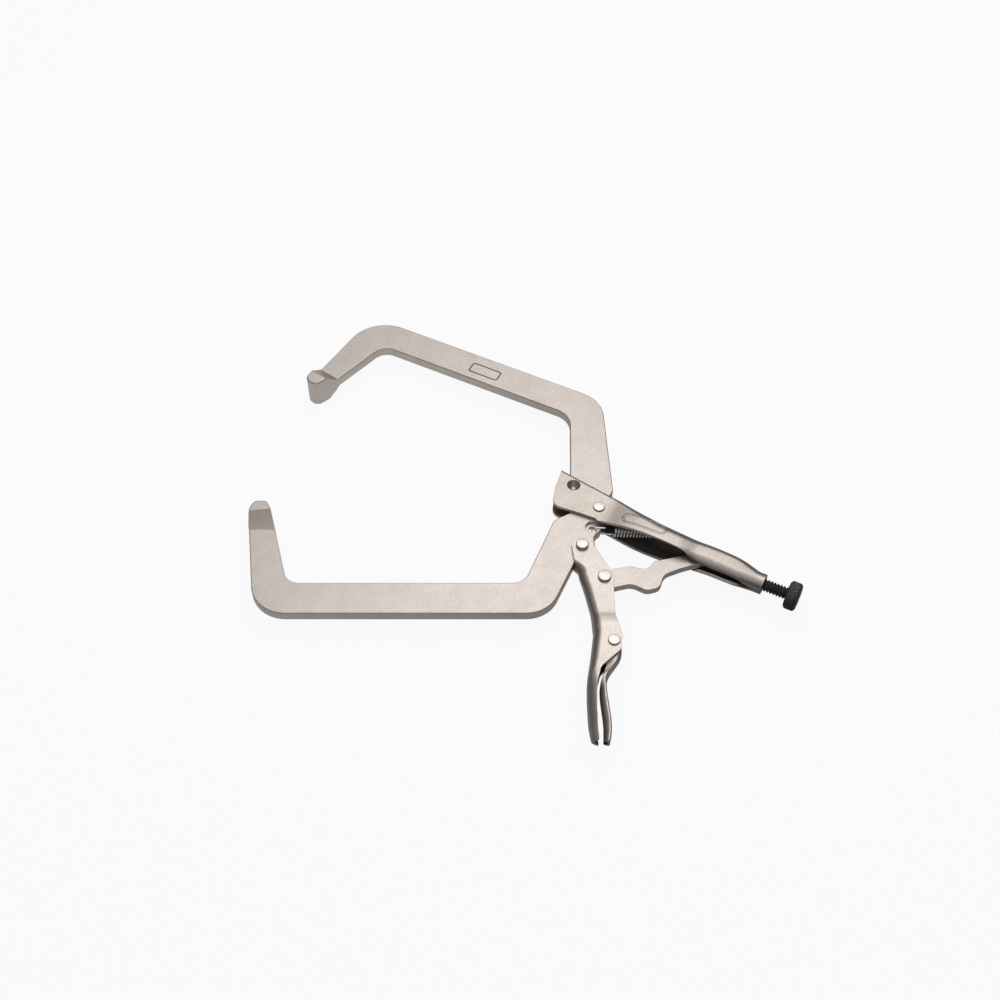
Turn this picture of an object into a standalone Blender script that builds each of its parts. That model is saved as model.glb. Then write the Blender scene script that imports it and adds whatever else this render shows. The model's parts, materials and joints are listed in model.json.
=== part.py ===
"""Locking C-clamp, lying open on its side.

Lengths below are in millimetres and become metres where meshes are made.
The plan plane is the clamp's middle plane: X runs along the lower jaw's bar, Y away from it,
and the pivot of the lower jaw is the plan's zero point. Z is across the sheet metal.
"""
import math

import bmesh
import bpy
from mathutils import Matrix, Vector

MM = 0.001
COLLECTION = "locking_c_clamp"

# Stock and clearances
JAW_T = 8.6            # jaw plates
SHEET = 2.5            # pressed steel of both handles
LEVER_SHEET = 1.8      # pressed steel of the release lever
LINK_T = 6.0           # toggle link plate
SIDE_GAP = 0.3         # between plates that slide on each other
FIT_GAP = 0.3          # round a rivet, or between parts that touch
EDGE = 0.7             # softened edges of the plates
FORK_EASE = 0.05       # the fork's slot is this much deeper than the cheeks' inner faces
ARC_STEP = 12.0        # degrees between the points of a rounded corner

# Linkage, in plan
HANDLE_PIVOT = Vector((-14.0, -36.0))
LINK_PIVOT = Vector((1.3, -64.9))
LEVER_PIVOT = Vector((5.4, -120.3))
LINK_END_AT = 86.0     # along the screw's axis, from the foot of the jaw pivot
LINK_END_R = 5.0

# Screw and the axis of the fixed handle
BODY_ANGLE = -26.8     # degrees, the screw's axis in plan
AXIS_DROP = 6.4        # the screw's axis passes this far below the jaw pivot
SCREW_D = 9.7
THREAD_GAP = 0.4
SCREW_PLAY = 2.0       # room left at the open pivot, between link end and screw
SCREW_HEAD_D = 21.5
SCREW_HEAD_L = 9.0
SCREW_HEAD_AT = 154.0
SCREW_CHAMFER = 1.2
NECK_R = SCREW_D / 2 + THREAD_GAP + SHEET
NECK_END = 136.0

# Widths across the channels, measured from the middle plane
GRIP = JAW_T / 2 + SIDE_GAP + SHEET
BELLY = 13.2
LEVER_GRIP = JAW_T / 2 + SIDE_GAP - FIT_GAP
TAIL_W = 6.5
LEVER_TAIL = -143.0    # where the release lever's free edges start to roll in
ROLL_RUN = 12.0
ROLL = 1.6
FREE_EDGE = 4.0        # radius that eases an edge that doesn't roll in
FLARE = GRIP + 1.0     # closing handle where the release lever sits in it
JAW_SLOT_END = 4.0     # the fixed handle's back is open for the upper jaw up to here

# Rivets: shank, head across, head height
JAW_RIVET = (7.0, 9.0, 1.2)
HANDLE_RIVET = (7.0, 9.6, 2.8)
LINK_RIVET = (7.0, 9.8, 2.4)
LEVER_RIVET = (5.4, 8.9, 1.3)

# Jaws
HUB_R = 11.0           # lower jaw round its pivot
HUB_CLEARANCE = 0.7    # upper jaw's foot round that hub
LUG_R = 10.0           # lower jaw round the handle's pivot
EYE_R = 8.5            # link round its pivot
HANDLE_EYE_R = 7.8     # closing handle round its upper pivot
EAR_R = 6.7            # lower jaw's ear round the spring's hole
TIP_H = 25.8
TIP_EDGE = 1.4
TIP_PROUD = 0.1        # the upset tip stands this far out of the plate's edges
RAMP = 11.0
RAMP_R = 25.0          # the ramp is hollow
RAMP_SINK = 4.0        # degrees of its arc that lie inside the plate
CUT_REACH = 60.0       # how far open-ended cutters run

# Drawn dimples that lock the upper jaw in the fixed handle
DIMPLE_AT = Vector((-18.5, 21.6))
DIMPLE_MOUTH = 10.8
DIMPLE_FLOOR = 6.6
DIMPLE_DEPTH = 4.2
DIMPLE_BOSS = 12.4
DIMPLE_BOSS_END = 9.6
DIMPLE_REACH = 2.6

# Spring and what it hooks on
EAR_HOLE = Vector((-5.8, -17.0))
EAR_HOLE_D = 4.0
EAR_T = 3.4
EAR_POCKET_R = 6.0
ANCHOR_T = 2.6
ANCHOR_W = 8.0
WIRE_D = 1.3
COIL_D = 8.4
COIL_START = 17.0      # from the ear's hole
COIL_TURNS = 12
COIL_PITCH = 2.35
COIL_POINTS = 12
HOOK_END = 6.4         # straight end of the front hook
REAR_HOOK = 6.2        # from the coil's end to the anchor's hole
SPRING_ANGLE = -3.57   # degrees, the spring's line in plan
SPRING_L = COIL_START + COIL_TURNS * COIL_PITCH + REAR_HOOK
ANCHOR_HOLE = EAR_HOLE + Matrix.Rotation(math.radians(SPRING_ANGLE), 2) @ Vector((SPRING_L, 0))

# Washers beside the link
WASHER_D = 14.0

RIVET_STEPS = 20
STEEL = (0.62, 0.58, 0.53)
BLACK = (0.02, 0.02, 0.022)


def material(name, colour, roughness, metallic):
    """A Principled material."""
    made = bpy.data.materials.new(name)
    made.use_nodes = True
    shader = made.node_tree.nodes["Principled BSDF"]
    shader.inputs["Base Color"].default_value = (*colour, 1.0)
    shader.inputs["Roughness"].default_value = roughness
    shader.inputs["Metallic"].default_value = metallic
    made.diffuse_color = (*colour, 1.0)
    return made


def collections():
    """The collection of parts and the collection of cutters."""
    parts = bpy.data.collections.new(COLLECTION)
    cutters = bpy.data.collections.new("cutters")
    bpy.context.scene.collection.children.link(parts)
    bpy.context.scene.collection.children.link(cutters)
    return parts, cutters


def mesh_object(name, mesh, cutter=False):
    """Link a mesh to the parts, or to the cutters as a wire shape."""
    made = bpy.data.objects.new(name, mesh)
    (CUTTERS if cutter else PARTS).objects.link(made)
    if cutter:
        made.hide_render = True
        made.display_type = "WIRE"
    return made


def arc(centre, radius, start, end):
    """Points of an arc in plan, from one angle to another in degrees."""
    steps = max(2, math.ceil(abs(end - start) / ARC_STEP))
    angles = (math.radians(start + (end - start) * k / steps) for k in range(steps + 1))
    return [(centre[0] + radius * math.cos(a), centre[1] + radius * math.sin(a), 0) for a in angles]


def rounded(corners):
    """Outline points from corners given as (x, y, radius)."""
    points = []
    for index, (x, y, radius) in enumerate(corners):
        here = Vector((x, y))
        if radius <= 0:
            points.append(here)
            continue
        back = (Vector(corners[index - 1][:2]) - here).normalized()
        ahead = (Vector(corners[(index + 1) % len(corners)][:2]) - here).normalized()
        half = back.angle(ahead) / 2
        centre = here + (back + ahead).normalized() * (radius / math.sin(half))
        first = here + back * (radius / math.tan(half)) - centre
        turn = math.copysign(math.pi - 2 * half, ahead.cross(back))
        steps = max(1, math.ceil(abs(math.degrees(turn)) / ARC_STEP))
        for k in range(steps + 1):
            points.append(centre + Matrix.Rotation(turn * k / steps, 2) @ first)
    return points


def prism(name, outline, low, high, bevel=0.0, cutter=False):
    """A flat outline as a filled 2D curve, given its thickness from low to high and made a mesh."""
    curve = bpy.data.curves.new(name, "CURVE")
    curve.dimensions = "2D"
    curve.fill_mode = "BOTH"
    curve.extrude = (high - low) / 2 * MM
    spline = curve.splines.new("POLY")
    points = rounded(outline)
    spline.points.add(len(points) - 1)
    for slot, point in zip(spline.points, points):
        slot.co = (point.x * MM, point.y * MM, 0, 1)
    spline.use_cyclic_u = True
    drawn = bpy.data.objects.new(name + "_outline", curve)
    bpy.context.scene.collection.objects.link(drawn)
    mesh = curve_mesh(drawn, flat=True)
    mesh.transform(Matrix.Translation((0, 0, (low + high) / 2 * MM)))
    made = mesh_object(name, mesh, cutter)
    if bevel:
        soften(made, bevel)
    return made


def curve_mesh(drawn, flat=False):
    """The welded mesh of a curve object, which is then removed. A flat shape's ends become one face."""
    bpy.context.view_layer.update()
    seen = drawn.evaluated_get(bpy.context.evaluated_depsgraph_get())
    mesh = bpy.data.meshes.new_from_object(seen)
    mesh.transform(drawn.matrix_world)
    shape = bmesh.new()
    shape.from_mesh(mesh)
    bmesh.ops.remove_doubles(shape, verts=shape.verts, dist=1e-6)
    if flat:
        bmesh.ops.dissolve_limit(shape, angle_limit=math.radians(0.5), verts=shape.verts,
                                 edges=shape.edges)
    bmesh.ops.recalc_face_normals(shape, faces=shape.faces)
    shape.to_mesh(mesh)
    shape.free()
    mesh.materials.clear()
    curve = drawn.data
    bpy.data.objects.remove(drawn)
    bpy.data.curves.remove(curve)
    return mesh


def soften(made, width, angle=40):
    """Bevel the edges that are sharper than an angle."""
    bevel = made.modifiers.new("soft_edges", "BEVEL")
    bevel.width = width * MM
    bevel.segments = 1
    bevel.limit_method = "ANGLE"
    bevel.angle_limit = math.radians(angle)
    bevel.use_clamp_overlap = False


def boolean(made, other, operation="DIFFERENCE"):
    """Cut, join or intersect with another object, which becomes a cutter that moves with the piece."""
    other.parent = made
    step = made.modifiers.new(other.name, "BOOLEAN")
    step.operation = operation
    step.object = other
    step.solver = "EXACT"
    if other.name in PARTS.objects:
        PARTS.objects.unlink(other)
        CUTTERS.objects.link(other)
        other.hide_render = True
        other.display_type = "WIRE"
    return made


def cone(name, centre, radius_low, radius_high, low, high, cutter=True, segments=24):
    """A cylinder or cone across the plates."""
    shape = bmesh.new()
    place = Matrix.Translation((centre[0] * MM, centre[1] * MM, (low + high) / 2 * MM))
    bmesh.ops.create_cone(shape, cap_ends=True, cap_tris=False, segments=segments,
                          radius1=radius_low * MM, radius2=radius_high * MM,
                          depth=(high - low) * MM, matrix=place)
    mesh = bpy.data.meshes.new(name)
    shape.to_mesh(mesh)
    shape.free()
    return mesh_object(name, mesh, cutter)


def drill(made, name, centre, diameter, half_depth=30.0):
    """A round hole across the plates."""
    return boolean(made, cone(name, centre, diameter / 2, diameter / 2, -half_depth, half_depth))


def turned(name, profile, steps=RIVET_STEPS):
    """A profile of (radius, height) points from the top down, turned about Z."""
    mesh = bpy.data.meshes.new(name)
    verts = [(radius * MM, 0, height * MM) for radius, height in profile]
    mesh.from_pydata(verts, [(k, k + 1) for k in range(len(verts) - 1)], [])
    made = mesh_object(name, mesh)
    screw = made.modifiers.new("turn", "SCREW")
    screw.axis = "Z"
    screw.steps = steps
    screw.render_steps = steps
    screw.use_merge_vertices = True
    screw.merge_threshold = 1e-5
    return made


def shell(name, sections, sheet):
    """An open sheet lofted through sections of equal point counts, thickened inward."""
    shape = bmesh.new()
    rows = [[shape.verts.new(point * MM) for point in section] for section in sections]
    outward = 0.0
    for low, high in zip(rows, rows[1:]):
        middle = sum((vert.co for vert in low), Vector()) / len(low)
        for k in range(len(low) - 1):
            face = shape.faces.new((low[k], low[k + 1], high[k + 1], high[k]))
            face.normal_update()
            outward += face.normal.dot(face.calc_center_median() - middle)
    if outward < 0:
        bmesh.ops.reverse_faces(shape, faces=shape.faces)
    mesh = bpy.data.meshes.new(name)
    shape.to_mesh(mesh)
    shape.free()
    made = mesh_object(name, mesh)
    solid = made.modifiers.new("sheet", "SOLIDIFY")
    solid.thickness = sheet * MM
    solid.offset = -1.0
    solid.use_even_offset = True
    return made


def body_point(along, above, across=0.0):
    """A point given along and above the screw's axis, as a plan point with its Z."""
    turn = Matrix.Rotation(math.radians(BODY_ANGLE), 2)
    plan = turn @ Vector((along, above - AXIS_DROP))
    return Vector((plan.x, plan.y, across))


def body_outline(corners):
    """Corners in the fixed handle's own axes, turned into plan."""
    return [(*body_point(along, above).xy, radius) for along, above, radius in corners]


def rivet(name, centre, sizes, grip):
    """A rivet with two flat heads, on both sides of a stack."""
    shank, head, height = sizes
    under = grip + FIT_GAP
    top = under + height
    edge = min(0.5, height / 3)
    half = [(0, top), (head / 2 - edge, top), (head / 2, top - edge), (head / 2, under),
            (shank / 2, under)]
    profile = half + [(radius, -height_at) for radius, height_at in reversed(half)]
    made = turned(name, profile)
    made.location = (centre[0] * MM, centre[1] * MM, 0)
    return made


def hole_d(sizes):
    """The hole that a rivet's shank passes through."""
    return sizes[0] + 2 * FIT_GAP


def ramp_cutter(name, start, end, side):
    """A block whose face is the hollow ramp from the plate's face up to the tip's face."""
    rise = TIP_H / 2 - JAW_T / 2
    lean = math.degrees(math.atan2(rise, RAMP))
    half = math.degrees(math.asin(math.hypot(RAMP, rise) / 2 / RAMP_R))
    turn = Matrix.Rotation(math.radians(lean - half), 2)
    centre = turn @ Vector((0, RAMP_R))
    beyond = CUT_REACH * math.tan(math.radians(lean + half))
    hollow = arc(centre, RAMP_R, lean - half - RAMP_SINK - 90, lean + half - 90)
    cutter = prism(name, [
        (-CUT_REACH, hollow[0][1], 0), *hollow, (RAMP + CUT_REACH, rise + beyond, 0),
        (-CUT_REACH, rise + beyond, 0)], -CUT_REACH, CUT_REACH, cutter=True)
    way = (Vector(end) - Vector(start)).normalized()
    place = Matrix(((way.x, 0, side * way.y, start[0] * MM), (way.y, 0, -side * way.x, start[1] * MM),
                    (0, side, 0, side * JAW_T / 2 * MM), (0, 0, 0, 1)))
    cutter.data.transform(place)
    return cutter


def jaw_tip(name, outline, start, end):
    """The upset end of a jaw: as thick as the tip, with a ramp down to the plate on both faces."""
    block = prism(name, outline, -TIP_H / 2, TIP_H / 2, TIP_EDGE)
    for side in (1, -1):
        boolean(block, ramp_cutter(f"{name}_ramp_{'low' if side < 0 else 'top'}", start, end, side))
    return block


def upper_jaw():
    """The fixed jaw: a bent plate whose foot sits between the nose's cheeks."""
    hub_gap = HUB_R + HUB_CLEARANCE
    outline = [
        (-225.0, 144.9, 0), (-184.4, 209.5, 32), (7.5, 113.2, 28), (11.9, 18.0, 8), (8.4, 11.6, 2),
        *arc((0, 0), hub_gap, 50, 132),
        (-30.5, 8.7, 3), (-30.5, 28.0, 3), (-20.7, 28.0, 1), (-18.9, 97.1, 18),
        (-173.3, 174.8, 13), (-210.8, 134.0, 0)]
    jaw = prism("upper_jaw", outline, -JAW_T / 2, JAW_T / 2, EDGE)
    start = (-216.2, 141.5)
    end = (-226.6, 127.2)
    tip = jaw_tip("upper_tip", [
        (-218.2, 155.9, 0), (-235.0, 129.6, 5), (-226.2, 121.4, 4.6), (-210.9, 133.75, 0),
        (-207.2, 137.7, 0)], start, end)
    boolean(jaw, tip, "UNION")
    hole = DIMPLE_BOSS / 2 + FIT_GAP + 0.1
    drill(jaw, "dimple_hole", DIMPLE_AT, 2 * hole)
    return jaw


def lower_jaw():
    """The moving jaw: hub, lug for the handle, recessed ear for the spring, bar and tip."""
    lug = HANDLE_PIVOT
    outline = [
        (-264.7, -19.0, 0), (-253.9, -95.1, 27), (-40.2, -95.1, 25), (-18.2, -45.6, 3),
        *arc(lug, LUG_R, -72, 12),
        (-4.8, -26.8, 1.5), *arc(EAR_HOLE, EAR_R, -62, 25), (1.6, -12.6, 2),
        *arc((0, 0), HUB_R, -55, 162),
        (-34.3, -10.2, 9), (-57.8, -68.1, 13), (-231.6, -68.1, 11.5), (-245.0, -19.0, 0)]
    jaw = prism("lower_jaw", outline, -JAW_T / 2, JAW_T / 2, EDGE)
    tip = jaw_tip("lower_tip", [
        (-265.0 - TIP_PROUD, -17.0, 0), (-264.9, -4.0, 12), (-261.5, 2.2, 4), (-252.6, 2.2, 3.5),
        (-248.9, -4.5, 12), (-245.5 + TIP_PROUD, -17.0, 0), (-242.4, -29.0, 0), (-263.2, -29.0, 0)],
        (-255.1, -17.7), (-257.5, 2.0))
    boolean(jaw, tip, "UNION")
    for side in (1, -1):
        low, high = sorted((side * EAR_T / 2, side * JAW_T))
        pocket = prism(f"ear_pocket_{'low' if side < 0 else 'top'}", [
            *arc(EAR_HOLE, EAR_POCKET_R, 80, 230), (-5.2, -28.5, 0), (8.0, -28.5, 0),
            (8.0, -10.6, 0)], low, high, cutter=True)
        boolean(jaw, pocket)
    drill(jaw, "ear_hole", EAR_HOLE, EAR_HOLE_D)
    drill(jaw, "jaw_pivot_hole", (0, 0), hole_d(JAW_RIVET))
    drill(jaw, "lug_hole", HANDLE_PIVOT, hole_d(HANDLE_RIVET))
    return jaw


def channel_section(place, top, low, width, corner, curl, edge):
    """Half a channel's outline from its free edge to the middle of its back, then mirrored.

    place turns (above, across) into a point. The back is at top, the free edge at low, the cheeks
    at width, the back's corners have the radius corner, and the cheeks curl in to edge with the
    radius curl.
    """
    drop = math.acos(max(-1.0, min(0.995, (edge - width + curl) / curl)))
    curl_mid = low + curl * math.sin(drop)
    half = []
    for k in range(4):
        a = drop * (1 - k / 4)
        half.append((curl_mid - curl * math.sin(a), width - curl + curl * math.cos(a)))
    start = top - corner
    for k in range(3):
        half.append((curl_mid + (start - curl_mid) * k / 3, width))
    for k in range(7):
        a = math.pi / 2 * k / 7
        half.append((start + corner * math.sin(a), width - corner + corner * math.cos(a)))
    half.append((top, (width - corner) / 2))
    whole = half + [(top, 0)] + [(above, -across) for above, across in reversed(half)]
    return [place(above, across) for above, across in whole]


def fixed_handle():
    """The fixed handle: one folded sheet from flat nose cheeks through a belly to a tubular neck."""
    tube = NECK_R
    # along, top, low, half width, corner, curl, edge
    stations = [
        (-46, 28.7, -16.0, GRIP, 3.2, 6.0, GRIP),
        (-8, 23.1, -9.0, GRIP, 3.2, 6.0, GRIP),
        (4, 21.4, -6.0, GRIP, 3.4, 6.0, GRIP),
        (10, 20.5, -5.2, GRIP + 0.5, 3.9, 6.0, GRIP + 0.5),
        (16, 18.9, -4.9, 8.9, 4.7, 6.0, 8.9),
        (24, 16.6, -4.8, 10.8, 6.0, 6.0, 10.8),
        (33, 14.8, -4.9, 12.4, 7.8, 6.0, 12.4),
        (42, 13.6, -5.0, BELLY - 0.1, 9.0, 6.0, BELLY - 0.1),
        (48, 12.9, -5.0, BELLY, 9.6, 6.0, BELLY),
        (58, 12.3, -5.1, 13.0, 9.8, 6.0, 12.8),
        (68, 12.0, -5.3, 12.2, 9.6, 6.0, 11.8),
        (74, 12.1, -5.7, 11.3, 9.4, 6.0, 10.2),
        (78.5, 12.3, -6.6, 10.5, 9.2, 6.0, 7.0),
        (83, 12.5, -7.3, 9.9, 9.0, 6.0, 6.2),
        (95, 12.8, -7.5, 9.2, 8.8, 6.0, 5.8),
        (109, 12.3, -7.6, 8.8, 8.6, 6.0, 5.6),
        (116, 11.4, -7.7, 8.5, 8.2, 6.5, 5.0),
        (121, 10.4, -tube, 8.2, 7.9, 7.3, 2.6),
        (126, 8.9, -tube, 7.9, 7.8, 7.6, 1.0),
        (130, tube, -tube, tube, tube - 0.01, tube - 0.01, 0.4),
        (NECK_END, tube, -tube, tube, tube - 0.01, tube - 0.01, 0.4)]
    sections = []
    for along, *sizes in stations:

        def place(above, across, at=along):
            return body_point(at, above, across)

        sections.append(channel_section(place, *sizes))
    handle = shell("fixed_handle", sections, SHEET)
    profile = prism("nose_profile", body_outline([
        (-43.0, 40.0, 0), (150, 40.0, 0), (150, -20.0, 0),
        (10, -20.0, 0), (3, -4.6, 2), (-10, -5.2, 0), (-33.2, -7.4, 8), (-37.9, 9.0, 20)]),
        -30, 30, cutter=True)
    boolean(handle, profile, "INTERSECT")
    opening = GRIP - SHEET + FORK_EASE
    boolean(handle, prism("jaw_slot", body_outline([
        (-CUT_REACH, 12.0, 0), (JAW_SLOT_END, 12.0, 0), (JAW_SLOT_END, CUT_REACH, 0),
        (-CUT_REACH, CUT_REACH, 0)]), -opening, opening, cutter=True))
    anchor = spring_anchor()
    boolean(handle, anchor, "UNION")
    for side in (1, -1):
        sign = "low" if side < 0 else "top"
        inner = side * (GRIP - SHEET)
        reach = side * (GRIP - SHEET - DIMPLE_REACH)
        boss = flipped_cone(f"dimple_boss_{sign}", DIMPLE_AT, DIMPLE_BOSS_END / 2, DIMPLE_BOSS / 2,
                            reach, inner + side * 0.5)
        boolean(handle, boss, "UNION")
        cup = flipped_cone(f"dimple_cup_{sign}", DIMPLE_AT, DIMPLE_FLOOR / 2, DIMPLE_MOUTH / 2,
                           side * (GRIP - DIMPLE_DEPTH), side * (GRIP + 0.2))
        boolean(handle, cup)
    drill(handle, "body_pivot_hole", (0, 0), hole_d(JAW_RIVET))
    return handle


def flipped_cone(name, centre, radius_inner, radius_outer, inner, outer):
    """A cone between an inner and an outer height on either side of the middle plane."""
    if inner < outer:
        return cone(name, centre, radius_inner, radius_outer, inner, outer)
    return cone(name, centre, radius_outer, radius_inner, outer, inner)


def spring_anchor():
    """The tab that is pressed out of the back of the fixed handle, with the spring's rear hole."""
    turn = Matrix.Rotation(math.radians(-BODY_ANGLE), 2)
    local = turn @ ANCHOR_HOLE
    along, above = local.x, local.y + AXIS_DROP
    half = ANCHOR_W / 2
    tab = prism("spring_anchor", body_outline([
        (along - half, above - half - 0.5, 2.5), (along + half, above - half - 0.5, 2.5),
        (along + half + 1.0, 11.6, 0), (along - half - 1.0, 11.6, 0)]), -ANCHOR_T / 2, ANCHOR_T / 2)
    drill(tab, "anchor_hole", ANCHOR_HOLE, EAR_HOLE_D)
    return tab


def side_channel(name, stations, sheet, corner, roll=0.0):
    """A channel given by pairs of plan points: its back and its free edge, with a half width.

    Past LEVER_TAIL the free edges roll in.
    """
    sections = []
    for back_x, back_y, edge_x, edge_y, width in stations:
        back = Vector((back_x, back_y))
        inward = Vector((edge_x, edge_y)) - back
        depth = inward.length
        inward.normalize()

        def place(above, across, back=back, inward=inward, depth=depth):
            plan = back + inward * (depth - above)
            return Vector((plan.x, plan.y, across))

        bend = min(corner, width - 0.3, depth * (0.6 if roll else 0.8))
        curl = depth - bend if roll else FREE_EDGE
        share = max(0.0, min(1.0, (LEVER_TAIL - back_y) / ROLL_RUN))
        edge = width - roll * share
        sections.append(channel_section(place, depth, 0.0, width, bend, curl, edge))
    return shell(name, sections, sheet)


def lower_handle():
    """The moving handle: a channel that straddles the lower jaw, the link and the release lever."""
    stations = [
        (-36.0, -20.0, 4.0, -20.0, GRIP), (-33.0, -36.0, 4.0, -36.0, GRIP),
        (-27.0, -47.0, 5.0, -47.0, GRIP), (-18.4, -55.5, 6.5, -56.0, GRIP),
        (-16.9, -62.0, 9.0, -63.0, GRIP), (-14.0, -73.5, 9.0, -73.5, GRIP),
        (-10.2, -93.0, 9.0, -93.5, GRIP), (-9.0, -103.0, 9.0, -103.0, GRIP + 0.8),
        (-8.9, -112.0, 12.5, -111.5, FLARE),
        (-10.2, -122.0, 12.6, -121.0, FLARE), (-11.4, -130.5, 12.0, -129.5, FLARE - 0.3),
        (-12.7, -138.5, 0.0, -137.5, GRIP), (-14.0, -146.0, -3.6, -145.0, 6.9),
        (-14.9, -153.5, -6.4, -153.0, 6.7), (-15.5, -166.0, -8.0, -165.5, TAIL_W),
        (-15.6, -182.0, -9.0, -182.5, TAIL_W),
        (-14.3, -192.5, -8.6, -193.0, 6.3), (-13.4, -198.2, -8.2, -198.6, 5.4)]
    handle = side_channel("lower_handle", stations, SHEET, 5.2)
    eye = arc(HANDLE_PIVOT, HANDLE_EYE_R, 28, 190)
    profile = prism("lower_handle_profile", [
        *eye, (-19.8, -55.0, 0), (-30, -55.0, 0), (-30.0, -197.0, 0), (-7.6, -197.0, 2.0),
        (-8.9, -175.0, 20), (-7.9, -154.0, 12), (-4.6, -141.0, 8), (9.6, -128.0, 5),
        (11.8, -116.0, 8), (7.4, -98.0, 20), (7.7, -62.0, 14)], -20, 20, cutter=True)
    boolean(handle, profile, "INTERSECT")
    fork = prism("fork_slot", [(-40, -53.0, 0), (-8, -53.0, 2), (-8, -20.0, 0), (-40, -20.0, 0)],
                 -GRIP + SHEET - FORK_EASE, GRIP - SHEET + FORK_EASE, cutter=True)
    boolean(handle, fork)
    drill(handle, "handle_hole", HANDLE_PIVOT, hole_d(HANDLE_RIVET))
    drill(handle, "link_hole", LINK_PIVOT, hole_d(LINK_RIVET))
    drill(handle, "lever_hole", LEVER_PIVOT, hole_d(LEVER_RIVET))
    return handle


def release_lever():
    """The release lever: a small channel, its back away from the handle, with a nose in the handle."""
    outer = 6.2
    stations = [
        (3.4, -98.5, -3.3, -99.5, LEVER_GRIP), (6.6, -107.5, -2.7, -109.0, LEVER_GRIP + 0.5),
        (9.2, -116.0, -2.2, -118.5, LEVER_GRIP + 0.8), (10.7, -122.5, -1.0, -126.0, LEVER_GRIP + 0.8),
        (10.8, -127.5, -0.4, -132.0, LEVER_GRIP + 0.4), (9.2, -132.8, -0.6, -137.5, LEVER_GRIP),
        (5.3, -138.4, -2.2, -143.6, 5.0), (1.9, -143.2, -4.0, -148.0, 5.8),
        (-0.3, -148.2, -5.2, -151.6, outer), (-1.2, -154.0, -6.1, -156.0, outer),
        (-1.1, -159.5, -6.3, -160.5, outer), (-0.5, -166.0, -6.1, -167.0, outer),
        (0.1, -173.0, -5.5, -174.5, outer), (0.8, -181.5, -4.9, -182.5, outer),
        (0.5, -191.0, -5.0, -191.3, 5.9), (-0.8, -197.6, -5.5, -197.9, 5.4)]
    lever = side_channel("release_lever", stations, LEVER_SHEET, 3.4, ROLL)
    drill(lever, "lever_bore", LEVER_PIVOT, hole_d(LEVER_RIVET))
    return lever


def link_end():
    """The point where the link's round end meets the screw."""
    return body_point(LINK_END_AT, 0).xy


def toggle_link():
    """The toggle link: an eye, a hump that the release lever presses, and a rounded end."""
    along = link_end() - LINK_PIVOT
    turn = math.atan2(along.y, along.x)
    reach = along.length
    corners = [
        *arc((0, 0), EYE_R, 100, 262),
        (18.0, -8.6, 10), (27.0, -17.4, 7), (37.0, -17.4, 7), (44.0, -7.2, 10), (58.0, -5.4, 20),
        (reach, -LINK_END_R + 0.4, 0),
        *arc((reach, 0), LINK_END_R, -80, 80),
        (52.0, 5.8, 10), (41.5, 6.2, 6), (32.8, 0.2, 7), (23.0, 6.8, 8), (10.0, 7.8, 8)]
    link = prism("toggle_link", corners, -LINK_T / 2, LINK_T / 2, EDGE * 0.7)
    drill(link, "link_eye", (0, 0), hole_d(LINK_RIVET))
    link.rotation_euler.z = turn
    link.location = (LINK_PIVOT.x * MM, LINK_PIVOT.y * MM, 0)
    return link


def link_washers():
    """The two washers that centre the link between the handle's cheeks."""
    thickness = GRIP - SHEET - LINK_T / 2 - 2 * FIT_GAP
    made = []
    for side, word in ((1, "upper"), (-1, "lower")):
        middle = side * (LINK_T / 2 + FIT_GAP + thickness / 2)
        washer = cone(f"link_washer_{word}", LINK_PIVOT, WASHER_D / 2, WASHER_D / 2,
                      middle - thickness / 2, middle + thickness / 2, cutter=False)
        drill(washer, f"washer_hole_{word}", LINK_PIVOT, hole_d(LINK_RIVET))
        made.append(washer)
    return made


def spring_route():
    """The spring's wire: front hook through the ear, coil, and rear hook through the anchor."""
    mean = (COIL_D - WIRE_D) / 2
    coil_end = COIL_START + COIL_TURNS * COIL_PITCH
    points = [Vector((mean + HOOK_END, 0, mean))]
    for k in range(7):
        a = math.radians(90 + 180 * k / 6)
        points.append(Vector((mean + mean * math.cos(a), 0, mean * math.sin(a))))
    total = COIL_TURNS * COIL_POINTS
    for k in range(total + 1):
        a = math.pi + 2 * math.pi * k / COIL_POINTS
        x = COIL_START + (coil_end - COIL_START) * k / total
        points.append(Vector((x, mean * math.sin(a), mean * math.cos(a))))
    for k in range(7):
        a = math.radians(-90 + 180 * k / 6)
        points.append(Vector((SPRING_L - mean + mean * math.cos(a), 0, mean * math.sin(a))))
    points.append(Vector((SPRING_L - mean - 3.4, 0, mean)))
    turn = Matrix.Rotation(math.radians(SPRING_ANGLE), 4, "Z")
    place = Matrix.Translation((EAR_HOLE.x, EAR_HOLE.y, 0)) @ turn
    return [place @ point for point in points]


def return_spring():
    """The tension spring that opens the jaws."""
    curve = bpy.data.curves.new("return_spring", "CURVE")
    curve.dimensions = "3D"
    curve.bevel_depth = WIRE_D / 2 * MM
    curve.bevel_resolution = 2
    curve.use_fill_caps = True
    route = spring_route()
    spline = curve.splines.new("POLY")
    spline.points.add(len(route) - 1)
    for slot, point in zip(spline.points, route):
        slot.co = (*(point * MM), 1)
    drawn = bpy.data.objects.new("return_spring_wire", curve)
    bpy.context.scene.collection.objects.link(drawn)
    return mesh_object("return_spring", curve_mesh(drawn))


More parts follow.
